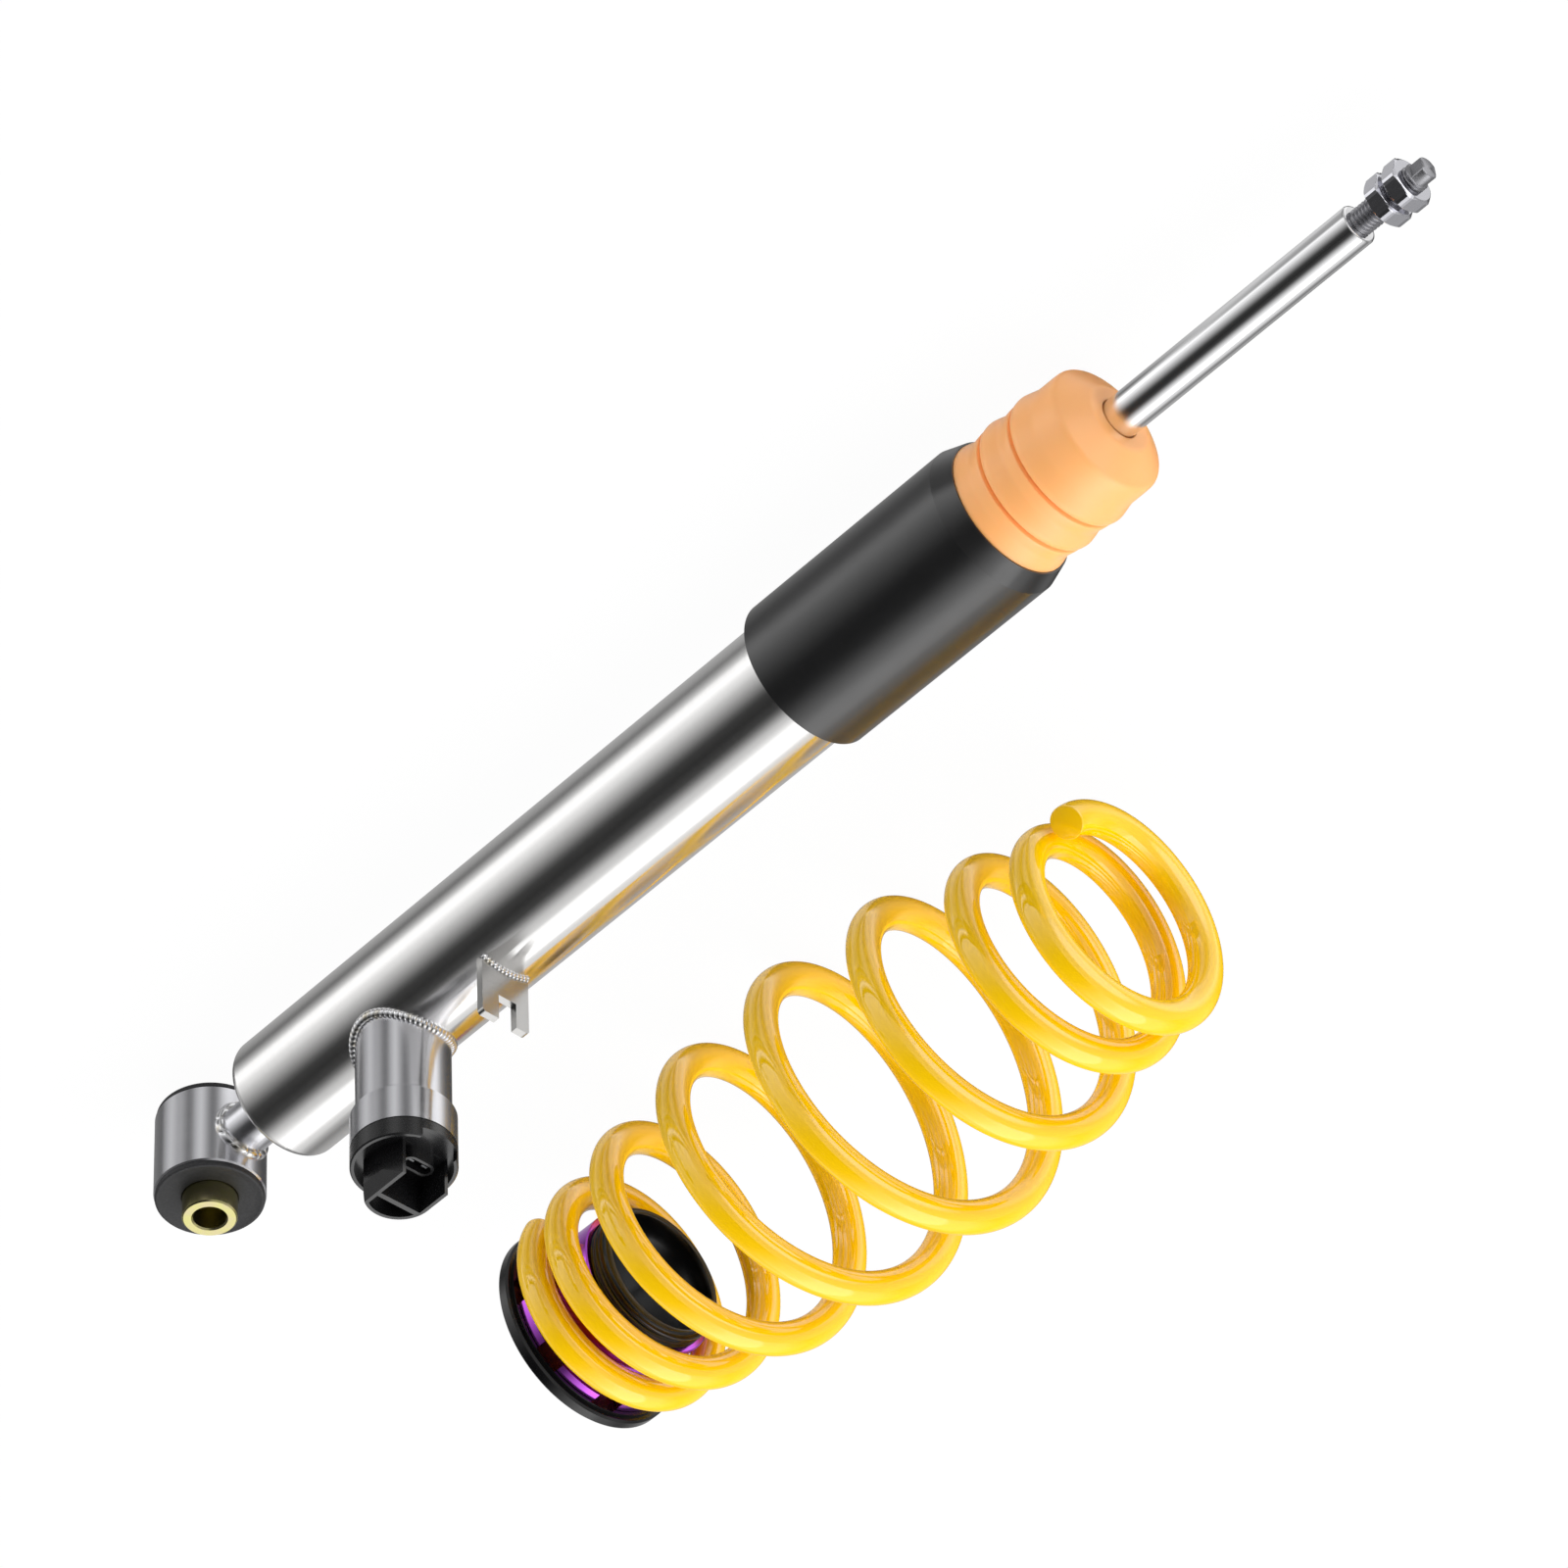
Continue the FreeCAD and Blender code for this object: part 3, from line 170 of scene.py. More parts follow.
def stretch_shine(tree, shader, along, amount):
    """Spread the shader's reflection along one direction, by an amount from 0 to 1.

    A face square to that direction has no line to spread along, so the amount falls to 0 while the
    normal's share of the direction, |n . along|, runs from 0.8 to 0.95.
    """
    line = add(tree, "CombineXYZ", dict(zip("XYZ", along)))
    tree.links.new(line.outputs["Vector"], shader.inputs["Tangent"])
    normal = add(tree, "TexCoord").outputs["Normal"]
    facing = add(tree, "VectorMath", {0: normal, 1: along}, operation="DOT_PRODUCT")
    square = add(tree, "Math", {0: facing.outputs["Value"]}, operation="ABSOLUTE")
    tree.links.new(spread(tree, square.outputs["Value"], amount, 0.0, 0.8, 0.95),
                   shader.inputs["Anisotropic"])


print("helpers ready, hex #808080 is", round(linear("#808080")[0], 3), "in linear light")

# %% [markdown]
# ## Metal finishes
# The damper's tube is ground between wheels and then plated bright, so almost all that it shows is
# the studio. The wheels leave very fine lines round the tube, which smear each reflection along it
# and keep it sharp across. The rod is hard chromed and finished the same way, only finer.


# %% Plated tube and hard-chromed rod
def tool_lines(tree, shader, size, stretch, roughness):
    """Lines of a width in mm that vary the roughness by about a tenth; returns the lines."""
    lines = grain(tree, size, stretch=stretch, detail=1.0)
    roughen(tree, shader, lines, roughness * 0.92, roughness * 1.1)
    return lines


def ground_plating(name, colour, roughness, line):
    """Bright plating over ground steel: lines of a width in mm run round X."""
    material, tree, shader = start_material(name, colour, Metallic=1.0, Roughness=roughness)
    tool_lines(tree, shader, line, ROUND_THE_X_AXIS, roughness)
    stretch_shine(tree, shader, (1, 0, 0), 0.9)
    return material


# stretches that draw noise out into rings round an axis
ROUND_THE_X_AXIS, ROUND_THE_Z_AXIS = (1, 60, 60), (60, 60, 1)
plated_tube = ground_plating("bright_plated_ground_steel", "#F4F3F2", 0.17, 0.35)
chromed_rod = ground_plating("hard_chromed_ground_steel", "#F4F4F5", 0.11, 0.2)
print("bright metals:", plated_tube.name, chromed_rod.name)

# %% [markdown]
# The eye, the neck and the valve housing are turned from bar and zinc plated. Turning leaves rings
# round their own axis, which spread each reflection along the axis and leave it sharp across, so
# the studio shows as soft vertical streaks.


# %% Turned satin steel
def turned_satin(name, colour, roughness, axis):
    """Zinc-plated turned steel with tool rings of 0.3 mm round an axis, "X" or "Z"."""
    material, tree, shader = start_material(name, colour, Metallic=1.0, Roughness=roughness)
    stretch = ROUND_THE_X_AXIS if axis == "X" else ROUND_THE_Z_AXIS
    rings = tool_lines(tree, shader, 0.3, stretch, roughness)
    stretch_shine(tree, shader, (1, 0, 0) if axis == "X" else (0, 0, 1), 0.85)
    relief(tree, shader, rings, 0.0003, 0.5)
    return material


satin_eye = turned_satin("satin_zinc_turned_round_z", "#EAEAEE", 0.2, "Z")
satin_neck = turned_satin("satin_zinc_turned_round_x", "#E4E4E8", 0.2, "X")
# the stud and its pin are left as turned steel, greyer than the chromed rod
stud_steel = turned_satin("turned_steel_stud", "#B4B4B8", 0.42, "X")
print("turned metals:", satin_eye.name, satin_neck.name, stud_steel.name)

# %% Laser-cut bracket and weld metal
bracket_steel, tree, shader = start_material("zinc_plated_sheet", "#BDBCBA",
                                             Metallic=1.0, Roughness=0.22)
sheet_grain = grain(tree, 0.6, stretch=(1, 1, 14))
roughen(tree, shader, sheet_grain, 0.2, 0.26)
relief(tree, shader, sheet_grain, 0.003, 0.4)

# a plated weld bead: frozen ripples, bright on top, a little straw colour where it ran hot
weld_metal, tree, shader = start_material("plated_weld_bead", "#CFCCC6",
                                          Metallic=1.0, Roughness=0.16)
heat = grain(tree, 5.0)
tree.links.new(tint(tree, heat, "#EDEDEF", "#D6CBB0", 0.5, 0.8), shader.inputs["Base Color"])
relief(tree, shader, grain(tree, 1.1), 0.02, 0.5)
print("welded metals:", bracket_steel.name, weld_metal.name)

# %% Zinc on the small pieces
# yellow-passivated zinc on the eye's inner sleeve: greenish gold with faint clouds
yellow_zinc, tree, shader = start_material("yellow_passivated_zinc", "#D2CD8E",
                                           Metallic=1.0, Roughness=0.24)
clouds = grain(tree, 4.0, detail=3.0)
tree.links.new(tint(tree, clouds, "#CBC684", "#C9BE94"), shader.inputs["Base Color"])
relief(tree, shader, grain(tree, 0.25, stretch=(30, 30, 1)), 0.004, 0.5)

# clear zinc on the nuts: silver, its flats smooth with faint scrapes along them
clear_zinc, tree, shader = start_material("clear_zinc_milled_steel", "#DCDCE2",
                                          Metallic=1.0, Roughness=0.12)
scrape = grain(tree, 0.5, stretch=(12, 1, 1))
roughen(tree, shader, scrape, 0.1, 0.16)
relief(tree, shader, scrape, 0.003, 0.5)
print("zinc:", yellow_zinc.name, clear_zinc.name)

# %% Hidden steel, copper and tin
# oiled steel of the pieces inside, which only a section would show
dark_steel, tree, shader = start_material("oiled_machined_steel", "#6E7074",
                                          Metallic=1.0, Roughness=0.32)
roughen(tree, shader, grain(tree, 1.5), 0.26, 0.4)

copper, tree, shader = start_material("enamelled_copper_winding", "#B5622F",
                                      Metallic=1.0, Roughness=0.3)
relief(tree, shader, grain(tree, 0.4, stretch=(40, 40, 1)), 0.05)

tin, tree, shader = start_material("tinned_contact", "#8A8B8D", Metallic=1.0, Roughness=0.45)
relief(tree, shader, grain(tree, 0.3), 0.01)
print("inside:", dark_steel.name, copper.name, tin.name)

# %% [markdown]
# ## Anodised aluminium
# The spring's height adjuster is aluminium: the seat ring is dyed purple in its oxide, the base and
# the threaded pot black. A dyed oxide keeps the metal's sharp reflection but colours it, so purple
# is a coloured metal, while black swallows the light below a clear, glossy skin.

# %% Purple and black anodising
purple_oxide, tree, shader = start_material("purple_anodised_aluminium", "#D468F4",
                                            Metallic=1.0, Roughness=0.17)
TURNED = (1, 50, 50)
relief(tree, shader, grain(tree, 0.3, stretch=TURNED), 0.0012, 0.5)

black_oxide, tree, shader = start_material("black_anodised_aluminium", "#060607",
                                           Roughness=0.22, IOR=1.6)
turning = grain(tree, 0.3, stretch=TURNED)
roughen(tree, shader, turning, 0.16, 0.24)
relief(tree, shader, turning, 0.0015, 0.5)
print("anodised:", purple_oxide.name, black_oxide.name)

# %% [markdown]
# ## Rubber, foam and plastics
# The bush is black moulded rubber, dull with a faint pressed grain. The stop is microcellular
# polyurethane: a peach-coloured foam with a closed moulded skin that lets a little light in, so its
# grooves glow orange instead of going grey. The dust sleeve and the plug housing are black moulded
# plastics, the first satin and even, the second a little coarser.

# %% Soft and moulded materials
rubber, tree, shader = start_material("moulded_black_rubber", "#222224", Roughness=0.5)
pressed = grain(tree, 0.8, detail=3.0)
tree.links.new(tint(tree, pressed, "#1C1C1E", "#2A2A2C"), shader.inputs["Base Color"])
relief(tree, shader, pressed, 0.02, 0.6)

foam, tree, shader = start_material("microcellular_foam_skin", "#FFB570", Roughness=0.3,
                                    IOR=1.6, Subsurface_Weight=0.2, Subsurface_Scale=0.0025)
shader.inputs["Subsurface Radius"].default_value = (1.0, 0.45, 0.2)
relief(tree, shader, grain(tree, 0.35, detail=1.0), 0.002, 0.5)

sleeve_plastic, tree, shader = start_material("satin_black_polypropylene", "#101011",
                                              Roughness=0.3, IOR=1.95)
stretch_shine(tree, shader, (1, 0, 0), 0.8)
roughen(tree, shader, grain(tree, 3.0, stretch=(3, 1, 1), detail=0.0), 0.29, 0.31)

plug_plastic, tree, shader = start_material("moulded_black_nylon", "#131314", Roughness=0.24,
                                            IOR=1.75)
eroded = grain(tree, 0.4, detail=3.0)
roughen(tree, shader, eroded, 0.2, 0.3)
relief(tree, shader, eroded, 0.003, 0.5)
print("soft and moulded:", rubber.name, foam.name, sleeve_plastic.name, plug_plastic.name)

# %% [markdown]
# ## Yellow powder coat
# The spring's wire is shot-peened and powder coated. The powder flows to a thick, even, glossy
# film: a strong clear skin over a saturated, dull base, which gives pale sharp streaks over deep
# yellow.

# %% Powder coat
powder_coat, tree, shader = start_material("yellow_powder_coat", "#FFCC00", Roughness=0.5,
                                           Coat_Weight=1.0, Coat_Roughness=0.03, Coat_IOR=2.1)
shader.inputs["Specular IOR Level"].default_value = 0.0
film = grain(tree, 5.0, detail=0.0)
tree.links.new(spread(tree, film, 0.02, 0.04), shader.inputs["Coat Roughness"])
print("coat:", powder_coat.name)

# %% [markdown]
# ## Finishes on the CAD pieces
# Each CAD node keeps its solid and gets the finish of its real surface in every one of its slots.

# %% Assign the finishes
finishes = {
    plated_tube: ["damper_tube"],
    chromed_rod: ["piston_rod"],
    satin_eye: ["eye_sleeve", "valve_housing"],
    satin_neck: ["eye_neck"],
    bracket_steel: ["cable_bracket"],
    weld_metal: ["eye_weld", "valve_weld", "bracket_weld"],
    yellow_zinc: ["eye_inner_sleeve"],
    clear_zinc: ["stud_nuts"],
    dark_steel: ["pressure_tube", "transfer_tube", "base_valve", "rod_guide", "bump_cap", "piston",
                 "piston_shims", "piston_nut", "rebound_stop", "valve_seat", "valve_spool",
                 "spool_spring", "pole_piece", "guide_bush", "piston_band"],
    copper: ["solenoid_coil"],
    tin: ["connector_blades"],
    rubber: ["eye_rubber_bush", "rod_seal", "housing_o_ring"],
    foam: ["bump_stop"],
    sleeve_plastic: ["dust_sleeve"],
    plug_plastic: ["connector_cap"],
    purple_oxide: ["adjuster_ring"],
    black_oxide: ["perch_base", "threaded_pot"],
    powder_coat: ["coil_spring"],
}
for material, names in finishes.items():
    for name in names:
        for slot in nodes[name].material_slots:
            slot.material = material
left_over = set(nodes) - {name for names in finishes.values() for name in names}
print("nodes without a finish:", sorted(left_over))

# %% [markdown]
# ## Surfaces worked out as grids
# Every new piece is a grid of points that a formula gives as whole arrays. One function joins the
# grid with quads. A grid may close round its second direction, as a turned shape does, and a flat
# fan can close each end.


# %% Grid to mesh
def grid_piece(name, points, material, body, replaced, closed=False, ends=False, flip=False,
               smooth=True):
    """Make a mesh from points[row, column] in mm.

    closed joins the last column to the first. ends shuts the first and last rows with a point in
    their middle. flip turns every face over where the two directions of the grid run left-handed.
    smooth shades across the edges.
    """
    rows, columns = points.shape[:2]
    vertices = points.reshape(-1, 3) * MM
    row, column = np.meshgrid(np.arange(rows - 1), np.arange(columns if closed else columns - 1),
                              indexing="ij")
    right = (column + 1) % columns
    quads = np.stack([row * columns + column, row * columns + right,
                      (row + 1) * columns + right, (row + 1) * columns + column], -1)
    faces = quads.reshape(-1, 4)
    if flip:
        faces = faces[:, ::-1]
    faces = faces.tolist()
    if ends:
        here = np.arange(columns)
        there = (here + 1) % columns
        first, last = len(vertices), len(vertices) + 1
        middles = [points[0].mean(0) * MM, points[-1].mean(0) * MM]
        vertices = np.vstack([vertices, middles])
        base = (rows - 1) * columns
        low = np.stack([there, here, np.full(columns, first)], -1)
        high = np.stack([base + here, base + there, np.full(columns, last)], -1)
        if flip:
            low, high = low[:, ::-1], high[:, ::-1]
        faces += low.tolist() + high.tolist()
    mesh = bpy.data.meshes.new(name)
    mesh.from_pydata(vertices.tolist(), [], faces)
    mesh.polygons.foreach_set("use_smooth", np.full(len(mesh.polygons), smooth))
    mesh.materials.append(material)
    mesh.update()
    piece = bpy.data.objects.new(name, mesh)
    bpy.context.scene.collection.objects.link(piece)
    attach(piece, body)
    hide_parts(replaced)
    print(name, len(mesh.polygons), "faces, box mm",
          np.round([(vertices.min(0)) / MM, vertices.max(0) / MM], 1).tolist())
    return piece


def soften(profile, radius, steps=5):
    """Round the corners of a closed profile of (along, out) points.

    At each corner the two sides are cut back by the radius, or by 0.45 of the shorter side, and a
    quadratic curve p = (1-t)^2 a + 2t(1-t) corner + t^2 b joins the cuts.
    """
    corner = np.asarray(profile, float)
    before, after = np.roll(corner, 1, 0), np.roll(corner, -1, 0)
    back, ahead = before - corner, after - corner
    back_length = np.linalg.norm(back, axis=1, keepdims=True)
    ahead_length = np.linalg.norm(ahead, axis=1, keepdims=True)
    cut = np.minimum(np.broadcast_to(np.asarray(radius, float).reshape(-1, 1), back_length.shape),
                     0.45 * np.minimum(back_length, ahead_length))
    first, last = corner + back / back_length * cut, corner + ahead / ahead_length * cut
    t = np.linspace(0, 1, steps)[None, :, None]
    curve = ((1 - t) ** 2 * first[:, None] + 2 * t * (1 - t) * corner[:, None]
             + t ** 2 * last[:, None])
    return curve.reshape(-1, 2)


def turned_points(profile, around, axis="X"):
    """Points of a profile of (along, out) turned round an axis through the origin.

    For "X" a point is (along, out cos a, out sin a) and for "Z" (out cos a, out sin a, along).
    """
    angle = np.linspace(0, 2 * np.pi, around, endpoint=False)
    along = np.repeat(profile[:, :1], around, 1)
    first, second = profile[:, 1:] * np.cos(angle), profile[:, 1:] * np.sin(angle)
    order = (along, first, second) if axis == "X" else (first, second, along)
    return np.stack(order, -1)


def joined(*parts):
    """Numbers and arrays of x, y and z put together as points or directions."""
    return np.stack(np.broadcast_arrays(*parts), -1)


# %% [markdown]
# ## The barrel spring
# The real spring is one wire, wound close at both ends and wide over its belly, and cut off square.
# Its middle line climbs as it turns: radius and pitch are both a steady value plus a raised sine
# power, which gives the barrel its lean towards the upper end. A round section is carried along the
# line on two directions square to it. The powder rounds the cut edge by half a millimetre.

# %% Middle line of the wire
SPRING_AXIS = (-145.8, 35.1)
WIRE = 6.4
TURN_FROM, TURN_TO, TURN_PHASE = 0.034, 8.009, np.radians(-40.5)
WIRE_START = 58.3
END_RADIUS, BELLY_RADIUS = 39.6, 18.7
RADIUS_SPAN, RADIUS_SKEW, RADIUS_POWER = (0.1, 6.92), 1.26, 1.65
END_PITCH, BELLY_PITCH, PITCH_SPAN, PITCH_POWER = 13.65, 39.25, (0.3, 7.556), 1.09
turn = np.linspace(TURN_FROM, TURN_TO, 1500)


def raised_sine(value, start, end, skew, power):
    """sin(pi s^skew)^power with s the share of value between start and end, and 0 outside."""
    share = np.clip((value - start) / (end - start), 0, 1) ** skew
    return np.maximum(np.sin(np.pi * share), 0) ** power


def wire_line(turns):
    """Middle of the wire: radius and pitch each an end value plus a raised sine, the height the
    summed pitch."""
    fine = np.linspace(0, turns.max(), 16001)
    pitch = END_PITCH + BELLY_PITCH * raised_sine(fine, *PITCH_SPAN, 1.0, PITCH_POWER)
    steps = (pitch[1:] + pitch[:-1]) / 2 * np.diff(fine)
    height = np.interp(turns, fine, np.concatenate([[0], np.cumsum(steps)]))
    radius = END_RADIUS + BELLY_RADIUS * raised_sine(turns, *RADIUS_SPAN, RADIUS_SKEW, RADIUS_POWER)
    angle = 2 * np.pi * turns + TURN_PHASE
    return joined(WIRE_START + height, SPRING_AXIS[0] + radius * np.cos(angle),
                  SPRING_AXIS[1] + radius * np.sin(angle))


middle = wire_line(turn)
print("wire from x", middle[0, 0].round(1), "to", middle[-1, 0].round(1), "mm,",
      np.linalg.norm(np.diff(middle, axis=0), axis=1).sum().round(0), "mm long")

# %% Section carried along it
tangent = np.gradient(middle, axis=0)
tangent /= np.linalg.norm(tangent, axis=1, keepdims=True)
outward = (middle - [0, *SPRING_AXIS]) * [0, 1, 1]
outward -= (outward * tangent).sum(1, keepdims=True) * tangent
outward /= np.linalg.norm(outward, axis=1, keepdims=True)
sideways = np.cross(tangent, outward)
travel = np.concatenate([[0], np.cumsum(np.linalg.norm(np.diff(middle, axis=0), axis=1))])
EDGE = 0.5
edge_steps = np.array([0, 0.2, 0.5, 1.0]) * EDGE
stations = np.unique(np.concatenate([travel, edge_steps, travel[-1] - edge_steps]))
from_end = np.minimum(stations, travel[-1] - stations)
inside_edge = np.clip(EDGE - from_end, 0, EDGE)
wire_radius = WIRE - EDGE + np.sqrt(EDGE ** 2 - inside_edge ** 2)


def along_wire(values):
    """The values given along the travelled length, read at the stations."""
    return np.stack([np.interp(stations, travel, values[:, axis]) for axis in range(3)], -1)


angle = np.linspace(0, 2 * np.pi, 56, endpoint=False)[None, :, None]
section = (np.cos(angle) * along_wire(outward)[:, None]
           + np.sin(angle) * along_wire(sideways)[:, None])
wire_points = along_wire(middle)[:, None] + section * wire_radius[:, None, None]
grid_piece("barrel_spring_wire", wire_points, powder_coat, "spring", "coil_spring",
           closed=True, ends=True)

# %% [markdown]
# ## The foam stop
# The stop is a smooth block of foam with a bevelled head, then rounded lobes. On the rising side
# of each lobe, just before its crest, a narrow slit lets the foam fold. Each corner is rounded as
# the foam's skin is. The shape is a profile turned round the rod. It runs up the bore, over the
# face and back down the outside, as (along, out) in mm, and each corner has its own radius.

# %% Foam stop
FOAM_FOOT, FOAM_BORE = 414.0, 7.62
foam_profile = [
    (FOAM_FOOT, FOAM_BORE), (493.5, FOAM_BORE), (494.1, 7.95), (494.2, 11.0), (494.2, 13.3),
    (487.8, 24.7), (484.0, 24.85), (476.4, 24.85), (473.4, 25.6), (469.6, 26.55), (467.5, 26.1),
    (467.0, 24.9), (466.6, 23.9), (466.1, 24.6), (465.7, 25.8), (463.4, 25.55), (460.4, 24.9),
    (458.0, 25.7), (454.4, 26.55), (452.3, 26.1), (451.8, 24.9), (451.4, 23.9), (450.9, 24.6),
    (450.5, 25.8), (448.2, 25.45), (445.3, 24.85), (442.4, 25.5), (439.5, 26.3), (431.2, 23.9),
    (FOAM_FOOT, 20.4),
]
SLIT_ROUND = [0.5, 0.2, 0.15, 0.2, 0.5, 1.2, 1.5]
foam_round = [0.3, 0.4, 0.8, 0.6, 1.2, 1.8, 2.0, 1.5, 1.5, 1.5, *SLIT_ROUND,
              1.5, 1.5, *SLIT_ROUND, 1.5, 0.4, 1.0, 0.5]
foam_ring = soften(foam_profile, foam_round)
foam_ring = np.vstack([foam_ring, foam_ring[:1]])
foam_piece = grid_piece("foam_stop", turned_points(foam_ring, 160), foam, "boot", "bump_stop",
                        closed=True, flip=True)

# %% [markdown]
# ## Rod, and the stud with its flatted pin
# The rod is ground and chromed up to its shoulder. Beyond it the stud carries a coarse M10 thread
# and ends in a pin with two flats that a key holds while the nuts are tightened. Each is one turned
# surface. The stud's radius depends on the place along it and, for thread and flats, on the angle.

# %% Chromed rod
rod_profile = np.array([
    (333.0, 0.01), (333.0, 4.6), (333.6, 5.0), (362.0, 5.0), (362.0, 7.1), (362.4, 7.5),
    (608.4, 7.5), (609.0, 7.25), (609.3, 6.8), (609.3, 6.4), (609.25, 4.7), (609.2, 0.01),
])
grid_piece("ground_rod", turned_points(rod_profile, 96), chromed_rod, "rod", "piston_rod",
           closed=True, ends=True)


# %% Stud with its thread
def thread_cut(along, angle, pitch, depth, crest):
    """Depth of a helical thread groove in mm.

    The place in the pitch is q = along / pitch - angle / 2pi, folded to 0 on the crest and 1 in the
    root. The groove starts at a share crest of that and runs straight down to the root.
    """
    place = np.mod(along / pitch - angle / (2 * np.pi), 1)
    folded = 1 - np.abs(2 * place - 1)
    return depth * np.clip((folded - crest) / (1 - 1.7 * crest), 0, 1)


STUD_AROUND = 96
THREAD_FROM, THREAD_TO, THREAD_PITCH, THREAD_DEPTH = 609.4, 636.2, 1.5, 0.92
THREAD_RADIUS, GROOVE_END, GROOVE_DEPTH = 4.98, 609.9, 0.5
PIN_FLAT, PIN_TURN = 3.25, np.radians(3.0)
along = np.linspace(THREAD_FROM, THREAD_TO, 360)[:, None]
around = np.linspace(0, 2 * np.pi, STUD_AROUND, endpoint=False)[None, :]
# the thread fades in and out over 0.8 mm, and a bevel takes its last turn off
fade = np.clip(np.minimum(along - GROOVE_END, THREAD_TO - along) / 0.8, 0, 1)
thread_radius = (THREAD_RADIUS - GROOVE_DEPTH * (along < GROOVE_END)
                 - fade * thread_cut(along, around, THREAD_PITCH, THREAD_DEPTH, 0.16))
thread_radius = np.minimum(thread_radius, (THREAD_TO + 1.0 - along) * 1.2 + 3.9)
pin_profile = np.array([(636.4, 4.45), (636.5, 4.2), (641.0, 4.2), (641.35, 4.05), (641.5, 3.7),
                        (641.5, 0.01)])
pin_along, pin_out = pin_profile[:, :1], pin_profile[:, 1:]
flat_reach = PIN_FLAT / np.maximum(np.abs(np.cos(around - PIN_TURN)), 1e-3)
pin_radius = np.minimum(pin_out, flat_reach)
stud_along = np.concatenate([[[609.25]], along, pin_along])
stud_out = np.vstack([np.full((1, STUD_AROUND), 0.01), thread_radius, pin_radius])
stud_points = joined(stud_along, stud_out * np.cos(around), stud_out * np.sin(around))
grid_piece("threaded_stud", stud_points, stud_steel, "rod", "piston_rod",
           closed=True, ends=True)

# %% [markdown]
# ## Nuts
# The nuts are milled from bar: six flats, a narrow bevel along each corner, and a cone that takes
# the corners off at both faces. A flat h from the axis is at h / cos(angle from its middle), and a
# bevel in the same way from its corner. The side is the nearer of the two.

# %% Nuts with bevelled corners
NUT_STARTS, NUT_THICK, NUT_TURN, NUT_BORE = (619.7, 627.9), 6.3, 16.8, 5.02
NUT_FLATS, CORNER_LEFT = 17.0, 9.42
CONE_FOOT, CONE_SLOPE = 8.1, 1.73
nut_steps = np.concatenate([np.linspace(-26.6, 26.6, 9), [28.3, 30.0, 31.7]])
nut_degrees = (nut_steps[None, :] + 60 * np.arange(6)[:, None]).ravel()
from_flat = np.radians(np.mod(nut_degrees + 30, 60) - 30)
from_corner = np.radians(30) - np.abs(from_flat)
nut_side = np.minimum(NUT_FLATS / 2 / np.cos(from_flat), CORNER_LEFT / np.cos(from_corner))
nut_angle = np.radians(nut_degrees + NUT_TURN + 30)[None, :]
inward = np.array([0.0, 0.0, 0.15, 0.3, 0.5, 0.8, 3.15])
inward = np.concatenate([inward, NUT_THICK - inward[-2::-1]])[:, None]
cone = CONE_FOOT + np.minimum(inward, NUT_THICK - inward) * CONE_SLOPE
nut_out = np.minimum(cone, nut_side[None, :])
nut_out[[0, -1]] = NUT_BORE
nut_out = np.vstack([nut_out, nut_out[:1]])
nut_along = np.vstack([inward, inward[:1]])
for index, start in enumerate(NUT_STARTS):
    nut_points = joined(start + nut_along, nut_out * np.cos(nut_angle), nut_out * np.sin(nut_angle))
    grid_piece(f"stud_nut_{index + 1}", nut_points, clear_zinc, body_of(nodes["stud_nuts"])[0],
               "stud_nuts", closed=True, smooth=False)

# %% [markdown]
# ## Threaded pot
# The seat ring climbs 3 mm a turn on a coarse round thread on the pot, whose radius is 28.28 - 1.4
# sin(pi (along / 3 - angle / 2pi))^2. Only its last turns show, between the ring and the pot's
# plain rim.

# %% Pot with its thread
POT_AROUND, POT_RADIUS, POT_PITCH, POT_DEPTH = 144, 28.28, 3.0, 1.4
along = np.linspace(48.1, 84.6, 380)[:, None]
around = np.linspace(0, 2 * np.pi, POT_AROUND, endpoint=False)[None, :]
fade = np.clip(np.minimum(along - 48.4, 84.4 - along) / 0.6, 0, 1)
pot_thread = POT_RADIUS - fade * POT_DEPTH * np.sin(np.pi * (
    along / POT_PITCH - around / (2 * np.pi))) ** 2
pot_rim = np.array([(84.8, 28.28), (85.6, 28.25), (86.9, 27.0), (87.4, 26.2), (87.5, 25.8),
                    (87.3, 25.0), (86.8, 24.55), (80.0, 24.5), (47.92, 24.5), (47.92, 28.2)])
pot_out = np.vstack([pot_thread, np.repeat(pot_rim[:, 1:], POT_AROUND, 1)])
pot_out = np.vstack([pot_out, pot_out[:1]])
pot_along = np.vstack([along, pot_rim[:, :1], along[:1]])
pot_points = joined(pot_along, SPRING_AXIS[0] + pot_out * np.cos(around),
                    SPRING_AXIS[1] + pot_out * np.sin(around))
grid_piece("pot_with_thread", pot_points, black_oxide, "damper", "threaded_pot",
           closed=True)

# %% [markdown]
# ## Rubber bush
# The bush is bonded between the eye and its inner sleeve. Each face bulges a little at the rim,
# where a lip covers the eye's edge, and dishes towards the sleeve.

# %% Rubber bush
bush_half = [(19.2, 10.42), (19.35, 12.5), (19.75, 17.0), (20.05, 18.6), (20.3, 19.5),
             (20.1, 20.35), (19.3, 20.6), (18.05, 20.5), (18.02, 17.98)]
bush_profile = bush_half + [(-along, out) for along, out in bush_half[::-1]]
bush_ring = soften(bush_profile, 0.6)
bush_ring = np.vstack([bush_ring, bush_ring[:1]])
grid_piece("rubber_bush", turned_points(bush_ring, 128, axis="Z"), rubber,
           body_of(nodes["eye_rubber_bush"])[0], "eye_rubber_bush",
           closed=True, flip=True)

